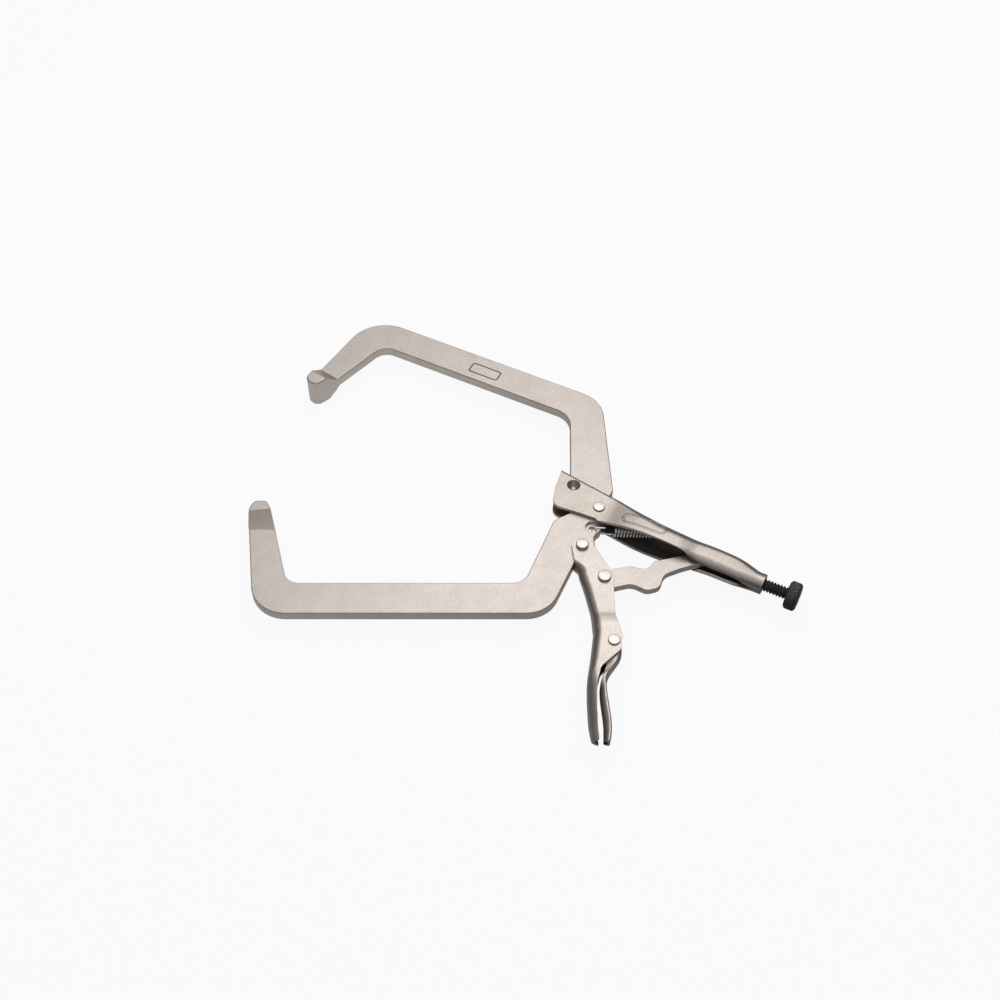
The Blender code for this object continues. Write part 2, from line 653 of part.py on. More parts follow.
def adjusting_screw():
    """The adjusting screw, turned about its axis: plain tip, thread and knurled head."""
    tip = LINK_END_AT + LINK_END_R + SCREW_PLAY
    head_end = SCREW_HEAD_AT + SCREW_HEAD_L
    shank = SCREW_D / 2
    head = SCREW_HEAD_D / 2
    chamfer = SCREW_CHAMFER
    profile = [
        (0, head_end), (head - 2 * chamfer, head_end), (head, head_end - chamfer),
        (head, SCREW_HEAD_AT + chamfer), (head - chamfer, SCREW_HEAD_AT), (shank, SCREW_HEAD_AT),
        (shank, tip + chamfer), (shank - chamfer, tip), (0, tip)]
    screw = turned("adjusting_screw", profile, 32)
    lay = Matrix.Rotation(math.radians(90), 4, "Y")
    spin = Matrix.Rotation(math.radians(BODY_ANGLE), 4, "Z")
    screw.matrix_world = Matrix.Translation(body_point(0, 0) * MM) @ spin @ lay
    return screw


def pivot(name, plan, parent):
    """An empty on a joint's axis."""
    empty = bpy.data.objects.new(name, None)
    PARTS.objects.link(empty)
    empty.empty_display_size = 0.01
    attach(empty, parent)
    empty.matrix_world = Matrix.Translation((plan[0] * MM, plan[1] * MM, 0))
    bpy.context.view_layer.update()
    return empty


def attach(child, parent):
    """Parent an object where it stands."""
    bpy.context.view_layer.update()
    stands = child.matrix_world.copy()
    child.parent = parent
    child.matrix_world = stands
    bpy.context.view_layer.update()


def finish(made, surface):
    """Give a piece its material and smooth round faces."""
    made.data.materials.append(surface)
    made.data.shade_smooth()
    made.data.set_sharp_from_angle(angle=math.radians(35))
    made.modifiers.new("flat_faces", "WEIGHTED_NORMAL")


def stand_on_origin(root):
    """Move the whole clamp so that the middle of its box's underside is the origin."""
    bpy.context.view_layer.update()
    graph = bpy.context.evaluated_depsgraph_get()
    corners = []
    for made in PARTS.objects:
        if made.type == "MESH":
            seen = made.evaluated_get(graph)
            corners += [seen.matrix_world @ vert.co for vert in seen.data.vertices]
    low = [min(corner[axis] for corner in corners) for axis in range(3)]
    high = [max(corner[axis] for corner in corners) for axis in range(3)]
    root.location = (-(low[0] + high[0]) / 2, -(low[1] + high[1]) / 2, -low[2])


def build():
    """Make every piece, give it its material, and hang it on its joint."""
    steel = material("satin_nickel", STEEL, 0.42, 0.9)
    spring_steel = material("spring_steel", (0.32, 0.31, 0.30), 0.35, 0.9)
    black = material("black_oxide", BLACK, 0.5, 0.3)
    root = bpy.data.objects.new("clamp", None)
    PARTS.objects.link(root)
    at_jaw = pivot("jaw_pivot", (0, 0), root)
    at_handle = pivot("handle_pivot", HANDLE_PIVOT, at_jaw)
    at_link = pivot("link_pivot", LINK_PIVOT, at_handle)
    at_lever = pivot("lever_pivot", LEVER_PIVOT, at_handle)
    at_screw = pivot("screw_slide", body_point(0, 0), root)
    pieces = [
        (fixed_handle(), root, steel), (upper_jaw(), root, steel),
        (rivet("jaw_rivet", (0, 0), JAW_RIVET, GRIP), root, steel),
        (return_spring(), root, spring_steel),
        (lower_jaw(), at_jaw, steel),
        (rivet("handle_rivet", HANDLE_PIVOT, HANDLE_RIVET, GRIP), at_handle, steel),
        (lower_handle(), at_handle, steel),
        (rivet("link_rivet", LINK_PIVOT, LINK_RIVET, GRIP), at_handle, steel),
        (rivet("lever_rivet", LEVER_PIVOT, LEVER_RIVET, FLARE), at_handle, steel),
        (toggle_link(), at_link, steel),
        (release_lever(), at_lever, steel),
        (adjusting_screw(), at_screw, black)]
    pieces += [(washer, at_handle, steel) for washer in link_washers()]
    for made, parent, surface in pieces:
        attach(made, parent)
        finish(made, surface)
    stand_on_origin(root)


for old in list(bpy.data.objects):
    bpy.data.objects.remove(old, do_unlink=True)
PARTS, CUTTERS = collections()
build()
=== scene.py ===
"""Dressed render of the locking C-clamp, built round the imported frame.

Lengths are in millimetres in the clamp's plan frame, whose zero point is the jaw pivot in the
middle plane. Meshes are made in metres about that point, and dress() moves each finished one to
the pivot's place in the frame.
"""

import json
import math

import bmesh
import bpy
from mathutils import Matrix, Vector


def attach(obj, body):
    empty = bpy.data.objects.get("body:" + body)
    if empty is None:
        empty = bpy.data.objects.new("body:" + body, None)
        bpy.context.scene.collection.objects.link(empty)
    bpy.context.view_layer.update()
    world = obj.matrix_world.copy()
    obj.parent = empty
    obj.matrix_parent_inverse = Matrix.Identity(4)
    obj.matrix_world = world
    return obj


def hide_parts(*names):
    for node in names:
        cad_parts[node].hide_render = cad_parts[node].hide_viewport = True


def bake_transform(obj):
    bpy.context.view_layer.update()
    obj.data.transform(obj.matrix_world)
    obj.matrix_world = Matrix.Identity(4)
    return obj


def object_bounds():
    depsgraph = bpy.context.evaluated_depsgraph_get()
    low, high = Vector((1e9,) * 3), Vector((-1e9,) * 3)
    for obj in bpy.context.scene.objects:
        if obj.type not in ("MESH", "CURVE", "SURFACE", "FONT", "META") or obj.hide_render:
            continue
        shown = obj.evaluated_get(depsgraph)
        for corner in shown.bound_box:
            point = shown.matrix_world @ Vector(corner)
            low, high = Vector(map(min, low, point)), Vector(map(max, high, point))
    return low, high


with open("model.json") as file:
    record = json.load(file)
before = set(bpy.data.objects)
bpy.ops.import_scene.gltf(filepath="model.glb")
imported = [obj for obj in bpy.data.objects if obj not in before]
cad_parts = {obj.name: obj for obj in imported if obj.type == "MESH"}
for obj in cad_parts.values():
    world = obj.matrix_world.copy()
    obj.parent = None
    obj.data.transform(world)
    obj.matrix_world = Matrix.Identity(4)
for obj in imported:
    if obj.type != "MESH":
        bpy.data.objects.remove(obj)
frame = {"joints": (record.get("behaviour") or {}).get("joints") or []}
CAD_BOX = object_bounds()
PIVOT = {joint["name"]: Vector(joint.get("pos_m") or (0, 0, 0)) for joint in frame["joints"]}
ORIGIN = PIVOT["jaw_hinge"]
MM = 0.001


def plan(name):
    """A hinge's place in the clamp's plan frame."""
    return ((PIVOT[name] - ORIGIN) / MM).xy


def world_point(flat):
    """A plan point as a place in the frame."""
    return ORIGIN + Vector((flat[0], flat[1], 0)) * MM


HANDLE_PIVOT = plan("handle_hinge")
LINK_PIVOT = plan("link_hinge")
LEVER_PIVOT = plan("lever_hinge")

# Stock and clearances, as in the solids but for a softer edge
JAW_T = 8.6            # jaw plates
SHEET = 2.5            # pressed steel of both handles
LEVER_SHEET = 1.8      # pressed steel of the release lever
LINK_T = 6.0           # toggle link plate
SIDE_GAP = 0.3         # between plates that slide on each other
FIT_GAP = 0.3          # round a rivet, or between parts that touch
EDGE = 0.9             # softened edges of the plates
FORK_EASE = 0.05       # the fork's slot is this much deeper than the cheeks' inner faces
GRIP = JAW_T / 2 + SIDE_GAP + SHEET
LEVER_GRIP = JAW_T / 2 + SIDE_GAP - FIT_GAP

# Folded sheets: half widths, bends, and how the tails lean, flare and roll in
BELLY = 13.2
FLARE = GRIP + 1.0
TAIL_W = 6.5
LEVER_TAIL_W = 6.2
HANDLE_BEND = 7.2
LEVER_BEND = 3.4
BACK_LEAST = 0.3       # flat that stays on each half of a back
LEVER_TAIL = -143.0    # past this the tails lean and roll in
ROLL_RUN = 12.0        # over this length
ROLL = 0.8
HANDLE_LEAN = -0.8     # below zero the cheeks open towards their lips
LEVER_LEAN = 0.7       # share by which they close towards their lips
FREE_EDGE = 4.0        # radius that eases an edge that doesn't roll in
JAW_SLOT_END = 4.0     # the fixed handle's back is open for the upper jaw up to here

# Axis of the fixed handle and its screw
BODY_ANGLE = -26.8     # degrees, the screw's axis in plan
AXIS_DROP = 6.4        # the screw's axis passes this far below the jaw pivot
SCREW_D = 9.7
THREAD_GAP = 0.4
LINK_END_AT = 86.0     # along the screw's axis, from the foot of the jaw pivot
LINK_END_R = 5.0
SCREW_PLAY = 2.0       # room left at the open pivot, between link end and screw
SCREW_HEAD_AT = 154.0
SCREW_HEAD_D = 21.5
SCREW_HEAD_L = 9.0
NECK_R = SCREW_D / 2 + THREAD_GAP + SHEET
NECK_END = 136.0
THREAD_PITCH = 2.4
THREAD_DEPTH = 1.25
HEAD_CHAMFER = 1.5
KNURL_TEETH = 44
KNURL_DEPTH = 0.45
KNURL_SLANT = 0.6

# Rivets: shank, head across, head height, and how far the top is domed
JAW_RIVET = (7.0, 9.0, 1.2, 0.25)
HANDLE_RIVET = (7.0, 9.6, 2.8, 0.35)
LINK_RIVET = (7.0, 9.8, 2.4, 0.35)
LEVER_RIVET = (5.4, 8.9, 1.3, 0.25)
RIVET_EDGE = 0.7
WASHER_D = 14.0

# Jaws
HUB_R = 11.0           # lower jaw round its pivot
HUB_CLEARANCE = 0.7    # upper jaw's foot round that hub
LUG_R = 10.0           # lower jaw round the handle's pivot
EYE_R = 8.5            # link round its pivot
HANDLE_EYE_R = 7.8     # closing handle round its upper pivot
EAR_R = 6.7            # lower jaw's ear round the spring's hole
TIP_H = 25.8
TIP_EDGE = 1.4
TIP_PROUD = 0.1        # the upset tip stands this far out of the plate's edges
RAMP = 11.0
RAMP_R = 110.0         # the ramp is slightly hollow
RAMP_SINK = 4.0        # degrees of its arc that lie inside the plate
CUT_REACH = 60.0       # how far open-ended cutters run
CROSS_REACH = 30.0     # how far cutters run across the plates

# Dimples that lock the upper jaw in the nose
DIMPLE_AT = Vector((-18.5, 21.6))
DIMPLE_MOUTH = 10.8
DIMPLE_FLOOR = 2.64
DIMPLE_DEPTH = 4.2
DIMPLE_BOSS = 12.4
DIMPLE_BOSS_END = 9.6
DIMPLE_REACH = 2.6
DIMPLE_PLAY = 0.2
DIMPLE_ROOT = 0.5      # how deep the boss is sunk in the sheet
DIMPLE_PROUD = 0.2

# Spring
EAR_HOLE = Vector((-5.8, -17.0))
EAR_HOLE_D = 4.0
EAR_HOLE_EASE = 0.8    # this much wider than the solid's hole
EAR_T = 3.4
EAR_POCKET_R = 5.3
ANCHOR_T = 2.6
ANCHOR_W = 8.0
ANCHOR_ROOT = 11.6     # above the screw's axis, inside the handle's back
WIRE_D = 1.15
COIL_D = 8.4
COIL_START = 17.0      # from the ear's hole
COIL_TURNS = 12
COIL_PITCH = 2.35
COIL_POINTS = 28
HOOK_END = 6.4         # straight end of the front hook
REAR_HOOK = 6.2        # from the coil's end to the anchor's hole
REAR_HOOK_END = 3.4    # straight end of the rear hook
SPRING_ANGLE = -3.57   # degrees, the spring's line in plan
SPRING_L = COIL_START + COIL_TURNS * COIL_PITCH + REAR_HOOK
ANCHOR_HOLE = EAR_HOLE + Matrix.Rotation(math.radians(SPRING_ANGLE), 2) @ Vector((SPRING_L, 0))

# Empty frame pressed into the upper jaw's bar, and the raised panel on the fixed handle's cheek
MARK_AT = (-143.5, 96.0)
MARK_SIZE = (26.5, 10.6)
MARK_CORNER = 2.4
MARK_LINE = 1.0
MARK_DEPTH = 0.5
PANEL_AT = (38.5, 3.8)
PANEL_SIZE = (36.0, 9.6)
PANEL_RIM = 1.3
PANEL_RISE = 0.35
PANEL_EDGE = 0.3
PANEL_LINE = (0.15, 0.5)
PANEL_LINE_LEVEL = 0.35

# Fineness of what is drawn: steps, angles in degrees, and gaps that count as none
ARC_STEP = 4.0
BEVEL_ANGLE = 40
BEVEL_STEPS = 5
SHEET_SHARP = 32
JAW_SHARP = 20
THREAD_SHARP = 50
KNURL_SHARP = 60
TURN_STEPS = 64
WIRE_SIDES = 12
HOOK_STEPS = 16
SPANS = 5              # stations drawn for each one given
POINT_GAP = 0.02       # points nearer than this are one
LEVEL_GAP = 0.01
MERGE_GAP = 0.002
COLLAPSE_GAP = 0.001
CORNERS = ((-1, -1), (1, -1), (1, 1), (-1, 1))

# The photograph's camera
CAMERA_LENS = 50.0
CAMERA_SENSOR = 36.0
CAMERA_TILT = 51.5
CAMERA_AWAY = 1070.0
CAMERA_AIM = Vector((-75.3, 12.4))
CAMERA_NEAR = 50.0

# Surfaces: the clouds' size, the fine grain's share and height, and where tones and wear set in
CLOUD_SCALE = 60.0
GRAIN_SHARE = 0.8
GRAIN_RELIEF = 0.12
TONES_AT = (0.38, 0.60)
WORN_AT = (0.61, 0.65)
ROUGH_AT = (0.35, 0.65)
ROUGH_SPREAD = (0.06, -0.05)

# Room in metres. A span goes from its first to its second place, with a strength at each.
FLOOR_HALF = 4.0
FLOOR_DROP = 0.0002
FLOOR_GLOW_AT = (-0.20, 0.12, 0.0)
FLOOR_GLOW_SPAN = (0.05, 0.5, 0.72, 0.13)
FLOOR_SEEN = 0.92
FLOOR_SHINE = 0.85
SKY_BACK_SPAN = (-0.8, 0.0, 0.72, 1.02)
SKY_SIDE_SPAN = (0.2, 0.6, 1.0, 0.42)
SKY_TONES = [(0.0, (0.09, 0.085, 0.08)), (0.35, (0.17, 0.165, 0.16)),
             (0.62, (0.74, 0.74, 0.74)), (1.0, (0.92, 0.92, 0.92))]

# Lamps: name, place, size and power
LAMPS = [("top_light", (0.12, 0.45, 0.95), 0.8, 2.9), ("left_light", (-0.9, 0.1, 0.55), 0.5, 0.15)]

CUTTERS = []


def add_object(name, data):
    """Link a mesh, a lamp or the camera to the scene."""
    made = bpy.data.objects.new(name, data)
    bpy.context.scene.collection.objects.link(made)
    return made


def make_mesh(name, shape):
    """A mesh from a bmesh, which is freed."""
    mesh = bpy.data.meshes.new(name)
    shape.to_mesh(mesh)
    shape.free()
    return mesh


def arc(centre, radius, start, end):
    """Points of an arc in plan, from one angle to another in degrees."""
    steps = max(2, math.ceil(abs(end - start) / ARC_STEP))
    angles = (math.radians(start + (end - start) * k / steps) for k in range(steps + 1))
    return [(centre[0] + radius * math.cos(a), centre[1] + radius * math.sin(a), 0) for a in angles]


def rounded(corners):
    """Outline points from corners given as (x, y, radius)."""
    points = []
    for index, (x, y, radius) in enumerate(corners):
        here = Vector((x, y))
        if radius <= 0:
            points.append(here)
            continue
        back = (Vector(corners[index - 1][:2]) - here).normalized()
        ahead = (Vector(corners[(index + 1) % len(corners)][:2]) - here).normalized()
        half = back.angle(ahead) / 2
        centre = here + (back + ahead).normalized() * (radius / math.sin(half))
        first = here + back * (radius / math.tan(half)) - centre
        turn = math.copysign(math.pi - 2 * half, ahead.cross(back))
        steps = max(1, math.ceil(abs(math.degrees(turn)) / ARC_STEP))
        for k in range(steps + 1):
            points.append(centre + Matrix.Rotation(turn * k / steps, 2) @ first)
    return points


def prism(name, outline, low, high, bevel=0.0):
    """A plate with a rounded outline, from low to high."""
    points = rounded(outline)
    kept = [p for k, p in enumerate(points) if (p - points[k - 1]).length > POINT_GAP]
    shape = bmesh.new()
    under = add_ring(shape, [(*p, low) for p in kept])
    over = add_ring(shape, [(*p, high) for p in kept])
    shape.faces.new(over)
    shape.faces.new(reversed(under))
    for k in range(len(kept)):
        shape.faces.new((under[k - 1], under[k], over[k], over[k - 1]))
    bmesh.ops.recalc_face_normals(shape, faces=shape.faces)
    made = add_object(name, make_mesh(name, shape))
    if bevel:
        soften(made, bevel)
    return made


def soften(made, width):
    """Round the edges that are sharper than BEVEL_ANGLE."""
    bevel = made.modifiers.new("soft_edges", "BEVEL")
    bevel.width = width * MM
    bevel.segments = BEVEL_STEPS
    bevel.limit_method = "ANGLE"
    bevel.angle_limit = math.radians(BEVEL_ANGLE)
    bevel.use_clamp_overlap = False


def boolean(made, other, operation="DIFFERENCE"):
    """Cut, join or intersect with another object."""
    step = made.modifiers.new(other.name, "BOOLEAN")
    step.operation = operation
    step.object = other
    step.solver = "EXACT"
    CUTTERS.append(other)
    return made


def settle(made, sharp=SHEET_SHARP):
    """Apply every modifier, drop the cutters, and shade smooth except at sharp edges."""
    bpy.context.view_layer.update()
    seen = made.evaluated_get(bpy.context.evaluated_depsgraph_get())
    mesh = bpy.data.meshes.new_from_object(seen)
    made.modifiers.clear()
    made.data = mesh
    while CUTTERS:
        bpy.data.objects.remove(CUTTERS.pop(), do_unlink=True)
    shape = bmesh.new()
    shape.from_mesh(mesh)
    bmesh.ops.remove_doubles(shape, verts=shape.verts, dist=MERGE_GAP * MM)
    bmesh.ops.dissolve_degenerate(shape, edges=shape.edges, dist=COLLAPSE_GAP * MM)
    shape.to_mesh(mesh)
    shape.free()
    mesh.shade_smooth()
    mesh.set_sharp_from_angle(angle=math.radians(sharp))
    made.modifiers.new("flat_faces", "WEIGHTED_NORMAL").keep_sharp = True
    return made


def cone(name, centre, radius_low, radius_high, low, high):
    """A cylinder or cone across the plates."""
    shape = bmesh.new()
    place = Matrix.Translation((centre[0] * MM, centre[1] * MM, (low + high) / 2 * MM))
    bmesh.ops.create_cone(shape, cap_ends=True, cap_tris=False, segments=TURN_STEPS,
                          radius1=radius_low * MM, radius2=radius_high * MM,
                          depth=(high - low) * MM, matrix=place)
    return add_object(name, make_mesh(name, shape))


def sided_cone(name, centre, radius_inner, radius_outer, inner, outer):
    """A cone between an inner and an outer height on either side of the middle plane."""
    if inner < outer:
        return cone(name, centre, radius_inner, radius_outer, inner, outer)
    return cone(name, centre, radius_outer, radius_inner, outer, inner)


def drill(made, centre, diameter):
    """A round hole across the plates."""
    radius = diameter / 2
    return boolean(made, cone("drill", centre, radius, radius, -CROSS_REACH, CROSS_REACH))


def rivet_hole(made, centre, sizes):
    """A hole that a rivet turns in."""
    drill(made, centre, sizes[0] + 2 * FIT_GAP)


def ring_points(level, steps, radius):
    """Points round the Z axis at one height, radius(level, share of the turn) away from it."""
    points = []
    for k in range(steps):
        away = radius(level, k / steps)
        turn = 2 * math.pi * k / steps
        points.append((away * math.cos(turn), away * math.sin(turn), level))
    return points


def add_ring(shape, points):
    """Corners of a bmesh at points given in millimetres."""
    return [shape.verts.new([value * MM for value in point]) for point in points]


def turned_mesh(name, profile):
    """A profile of (radius, height) points turned about Z, closed where it meets the axis."""
    shape = bmesh.new()
    rings = []
    for radius, height in profile:
        steps = TURN_STEPS if radius > 0 else 1
        rings.append(add_ring(shape, ring_points(height, steps, lambda *_: radius)))
    for one, two in zip(rings, rings[1:]):
        for k in range(TURN_STEPS):
            around = ((one, k - 1), (one, k), (two, k), (two, k - 1))
            corners = [ring[index % len(ring)] for ring, index in around]
            shape.faces.new(list(dict.fromkeys(corners)))
    bmesh.ops.recalc_face_normals(shape, faces=shape.faces)
    return make_mesh(name, shape)


def skin_rings(name, rings, sharp):
    """A closed skin over rings of points, capped at both ends."""
    shape = bmesh.new()
    loops = [add_ring(shape, ring) for ring in rings]
    for one, two in zip(loops, loops[1:]):
        for k in range(len(one)):
            shape.faces.new((one[k - 1], one[k], two[k], two[k - 1]))
    shape.faces.new(reversed(loops[0]))
    shape.faces.new(loops[-1])
    bmesh.ops.recalc_face_normals(shape, faces=shape.faces)
    return settle(add_object(name, make_mesh(name, shape)), sharp)


def two_finishes(made):
    """Give a mesh two empty material slots, which dress() fills, the second with painted shade."""
    for _ in range(2):
        made.data.materials.append(None)
    return made


def shell(name, sections):
    """A folded sheet lofted through sections, each an outer and an inner row of points.

    The inner faces take the second material slot, which holds painted shade.
    """
    shape = bmesh.new()
    loops = [[shape.verts.new(point * MM) for point in outer + inner[::-1]]
             for outer, inner in sections]
    count = len(loops[0])
    for one, two in zip(loops, loops[1:]):
        for k in range(count):
            face = shape.faces.new((one[k - 1], one[k], two[k], two[k - 1]))
            # the inner faces get painted shade
            face.material_index = 1 if k > count // 2 else 0
    half = count // 2
    for loop in (loops[0], loops[-1]):
        for k in range(half - 1):
            shape.faces.new((loop[k], loop[k + 1], loop[count - 2 - k], loop[count - 1 - k]))
    bmesh.ops.recalc_face_normals(shape, faces=shape.faces)
    return two_finishes(add_object(name, make_mesh(name, shape)))


def smooth_stations(stations):
    """More stations between the given ones, on a smooth curve through them."""
    fine = []
    last = len(stations) - 1
    for k in range(last):
        before, here, there, after = (stations[max(0, min(last, k + d))] for d in (-1, 0, 1, 2))
        for step in range(SPANS):
            t = step / SPANS
            fine.append([
                0.5 * (2 * b + (c - a) * t + (2 * a - 5 * b + 4 * c - d) * t ** 2
                       + (3 * b - a - 3 * c + d) * t ** 3)
                for a, b, c, d in zip(before, here, there, after)])
    return fine + [list(stations[last])]


def body_point(along, above, across=0.0):
    """A point given along and above the screw's axis."""
    flat = Matrix.Rotation(math.radians(BODY_ANGLE), 2) @ Vector((along, above - AXIS_DROP))
    return Vector((flat.x, flat.y, across))


def body_outline(corners):
    """Corners in the fixed handle's own axes, turned into plan."""
    return [(*body_point(along, above).xy, radius) for along, above, radius in corners]


def channel_row(top, low, width, corner, curl, edge, inset):
    """A channel's wall as (above, across) points from one free edge over the back to the other.

    The back is at top, the free edges at low, the cheeks at width, the back's corners have the
    radius corner, and the cheeks curl in to edge with the radius curl. The row lies inset deep.
    """
    curl_steps, side_steps, corner_steps, back_steps = 8, 6, 14, 3
    apart, least_flat, least_corner = 0.002, 0.01, 0.05
    corner = min(corner, width - least_flat)
    curl = min(curl, width - least_flat)
    drop = math.acos(max(-1.0, min(1.0, (min(edge, width) - width + curl) / curl)))
    curl_mid = low + curl * math.sin(drop)
    curl_in = curl - inset
    half = []
    for k in range(curl_steps):
        a = drop * (1 - k / curl_steps)
        half.append((curl_mid - curl_in * math.sin(a) - apart * (curl_steps - k),
                     width - curl + curl_in * math.cos(a)))
    start = min(top - corner, top - inset - least_corner)
    reach = min(width - corner, width - inset - least_corner)
    corner_up, corner_out = top - inset - start, width - inset - reach
    for k in range(side_steps):
        half.append((curl_mid + (start - curl_mid) * k / side_steps, width - inset))
    for k in range(corner_steps):
        a = math.pi / 2 * k / corner_steps
        half.append((start + corner_up * math.sin(a), reach + corner_out * math.cos(a)))
    for k in range(back_steps):
        half.append((top - inset, reach * (1 - k / back_steps)))
    return half + [(top - inset, 0)] + [(above, -across) for above, across in reversed(half)]


def channel_section(place, sheet, *sizes):
    """The outer and the inner row of a channel's wall, as points that place makes."""
    return [[place(*point) for point in channel_row(*sizes, inset)] for inset in (0.0, sheet)]


def ramp_cutter(start, end, side):
    """A block whose face is the hollow ramp from the plate's face up to the tip's face."""
    rise = TIP_H / 2 - JAW_T / 2
    lean = math.degrees(math.atan2(rise, RAMP))
    half = math.degrees(math.asin(math.hypot(RAMP, rise) / 2 / RAMP_R))
    centre = Matrix.Rotation(math.radians(lean - half), 2) @ Vector((0, RAMP_R))
    beyond = CUT_REACH * math.tan(math.radians(lean + half))
    hollow = arc(centre, RAMP_R, lean - half - RAMP_SINK - 90, lean + half - 90)
    cutter = prism("ramp", [
        (-CUT_REACH, hollow[0][1], 0), *hollow, (RAMP + CUT_REACH, rise + beyond, 0),
        (-CUT_REACH, rise + beyond, 0)], -CUT_REACH, CUT_REACH)
    way = (Vector(end) - Vector(start)).normalized()
    cutter.data.transform(Matrix((
        (way.x, 0, side * way.y, start[0] * MM), (way.y, 0, -side * way.x, start[1] * MM),
        (0, side, 0, side * JAW_T / 2 * MM), (0, 0, 0, 1))))
    return cutter


def jaw_tip(name, outline, start, end):
    """The upset end of a jaw, with a ramp down to the plate on both faces."""
    block = prism(name, outline, -TIP_H / 2, TIP_H / 2, TIP_EDGE)
    for side in (1, -1):
        boolean(block, ramp_cutter(start, end, side))
    return block


def blank_mark():
    """The cutter for an empty frame pressed into the upper jaw's bar."""
    frames = []
    for inset in (0.0, MARK_LINE):
        half_l, half_w = MARK_SIZE[0] / 2 - inset, MARK_SIZE[1] / 2 - inset
        corners = [(MARK_AT[0] + x * half_l, MARK_AT[1] + y * half_w, MARK_CORNER - inset)
                   for x, y in CORNERS]
        frames.append(prism("mark", body_outline(corners), JAW_T / 2 - MARK_DEPTH, JAW_T / 2 + 1))
    return boolean(*frames)


def shade_floor(made, level):
    """Give the faces that lie at one height the second finish, which holds painted shade."""
    for face in two_finishes(made).data.polygons:
        face.material_index = 1 if abs(face.center.z / MM - level) < LEVEL_GAP else 0
    return made


def upper_jaw():
    """The fixed jaw's plate with its tip and the hole for the dimples."""
    outline = [
        (-225.0, 144.9, 0), (-184.4, 209.5, 32), (7.5, 113.2, 28), (11.9, 18.0, 8), (8.4, 11.6, 2),
        *arc((0, 0), HUB_R + HUB_CLEARANCE, 50, 132),
        (-30.5, 8.7, 3), (-30.5, 28.0, 3), (-20.7, 28.0, 1), (-18.9, 97.1, 18),
        (-173.3, 174.8, 13), (-210.8, 134.0, 0)]
    jaw = prism("upper_jaw_plate", outline, -JAW_T / 2, JAW_T / 2, EDGE)
    tip = jaw_tip("upper_tip", [
        (-218.2, 155.9, 0), (-235.0, 129.6, 6.4), (-226.2, 121.4, 6), (-210.9, 133.75, 0),
        (-207.2, 137.7, 0)], (-216.2, 141.5), (-226.6, 127.2))
    boolean(jaw, tip, "UNION")
    drill(jaw, DIMPLE_AT, DIMPLE_BOSS + 2 * FIT_GAP + DIMPLE_PLAY)
    boolean(jaw, blank_mark())
    # the pressed frame's floor gets painted shade
    return shade_floor(settle(jaw, JAW_SHARP), JAW_T / 2 - MARK_DEPTH)


def lower_jaw():
    """The moving jaw's plate with its tip, its lug and its spring ear."""
    outline = [
        (-264.7, -19.0, 0), (-253.9, -95.1, 27), (-40.2, -95.1, 25), (-18.2, -45.6, 3),
        *arc(HANDLE_PIVOT, LUG_R, -72, 12),
        (-4.8, -26.8, 1.5), *arc(EAR_HOLE, EAR_R, -62, 25), (1.6, -12.6, 2),
        *arc((0, 0), HUB_R, -55, 162),
        (-34.3, -10.2, 9), (-57.8, -68.1, 13), (-231.6, -68.1, 11.5), (-245.0, -19.0, 0)]
    jaw = prism("lower_jaw_plate", outline, -JAW_T / 2, JAW_T / 2, EDGE)
    tip = jaw_tip("lower_tip", [
        (-265.0 - TIP_PROUD, -17.0, 0), (-264.9, -4.0, 12), (-261.5, 2.2, 4), (-252.6, 2.2, 3.5),
        (-248.9, -4.5, 12), (-245.5 + TIP_PROUD, -17.0, 0), (-242.4, -29.0, 0), (-263.2, -29.0, 0)],
        (-255.1, -17.7), (-257.5, 2.0))
    boolean(jaw, tip, "UNION")
    for side in (1, -1):
        low, high = sorted((side * EAR_T / 2, side * JAW_T))
        boolean(jaw, prism("ear_pocket", [
            *arc(EAR_HOLE, EAR_POCKET_R, 75, 335), (8.0, -19.6, 0), (8.0, -10.6, 0)], low, high))
    drill(jaw, EAR_HOLE, EAR_HOLE_D + EAR_HOLE_EASE)
    rivet_hole(jaw, (0, 0), JAW_RIVET)
    rivet_hole(jaw, HANDLE_PIVOT, HANDLE_RIVET)
    return settle(jaw, JAW_SHARP)


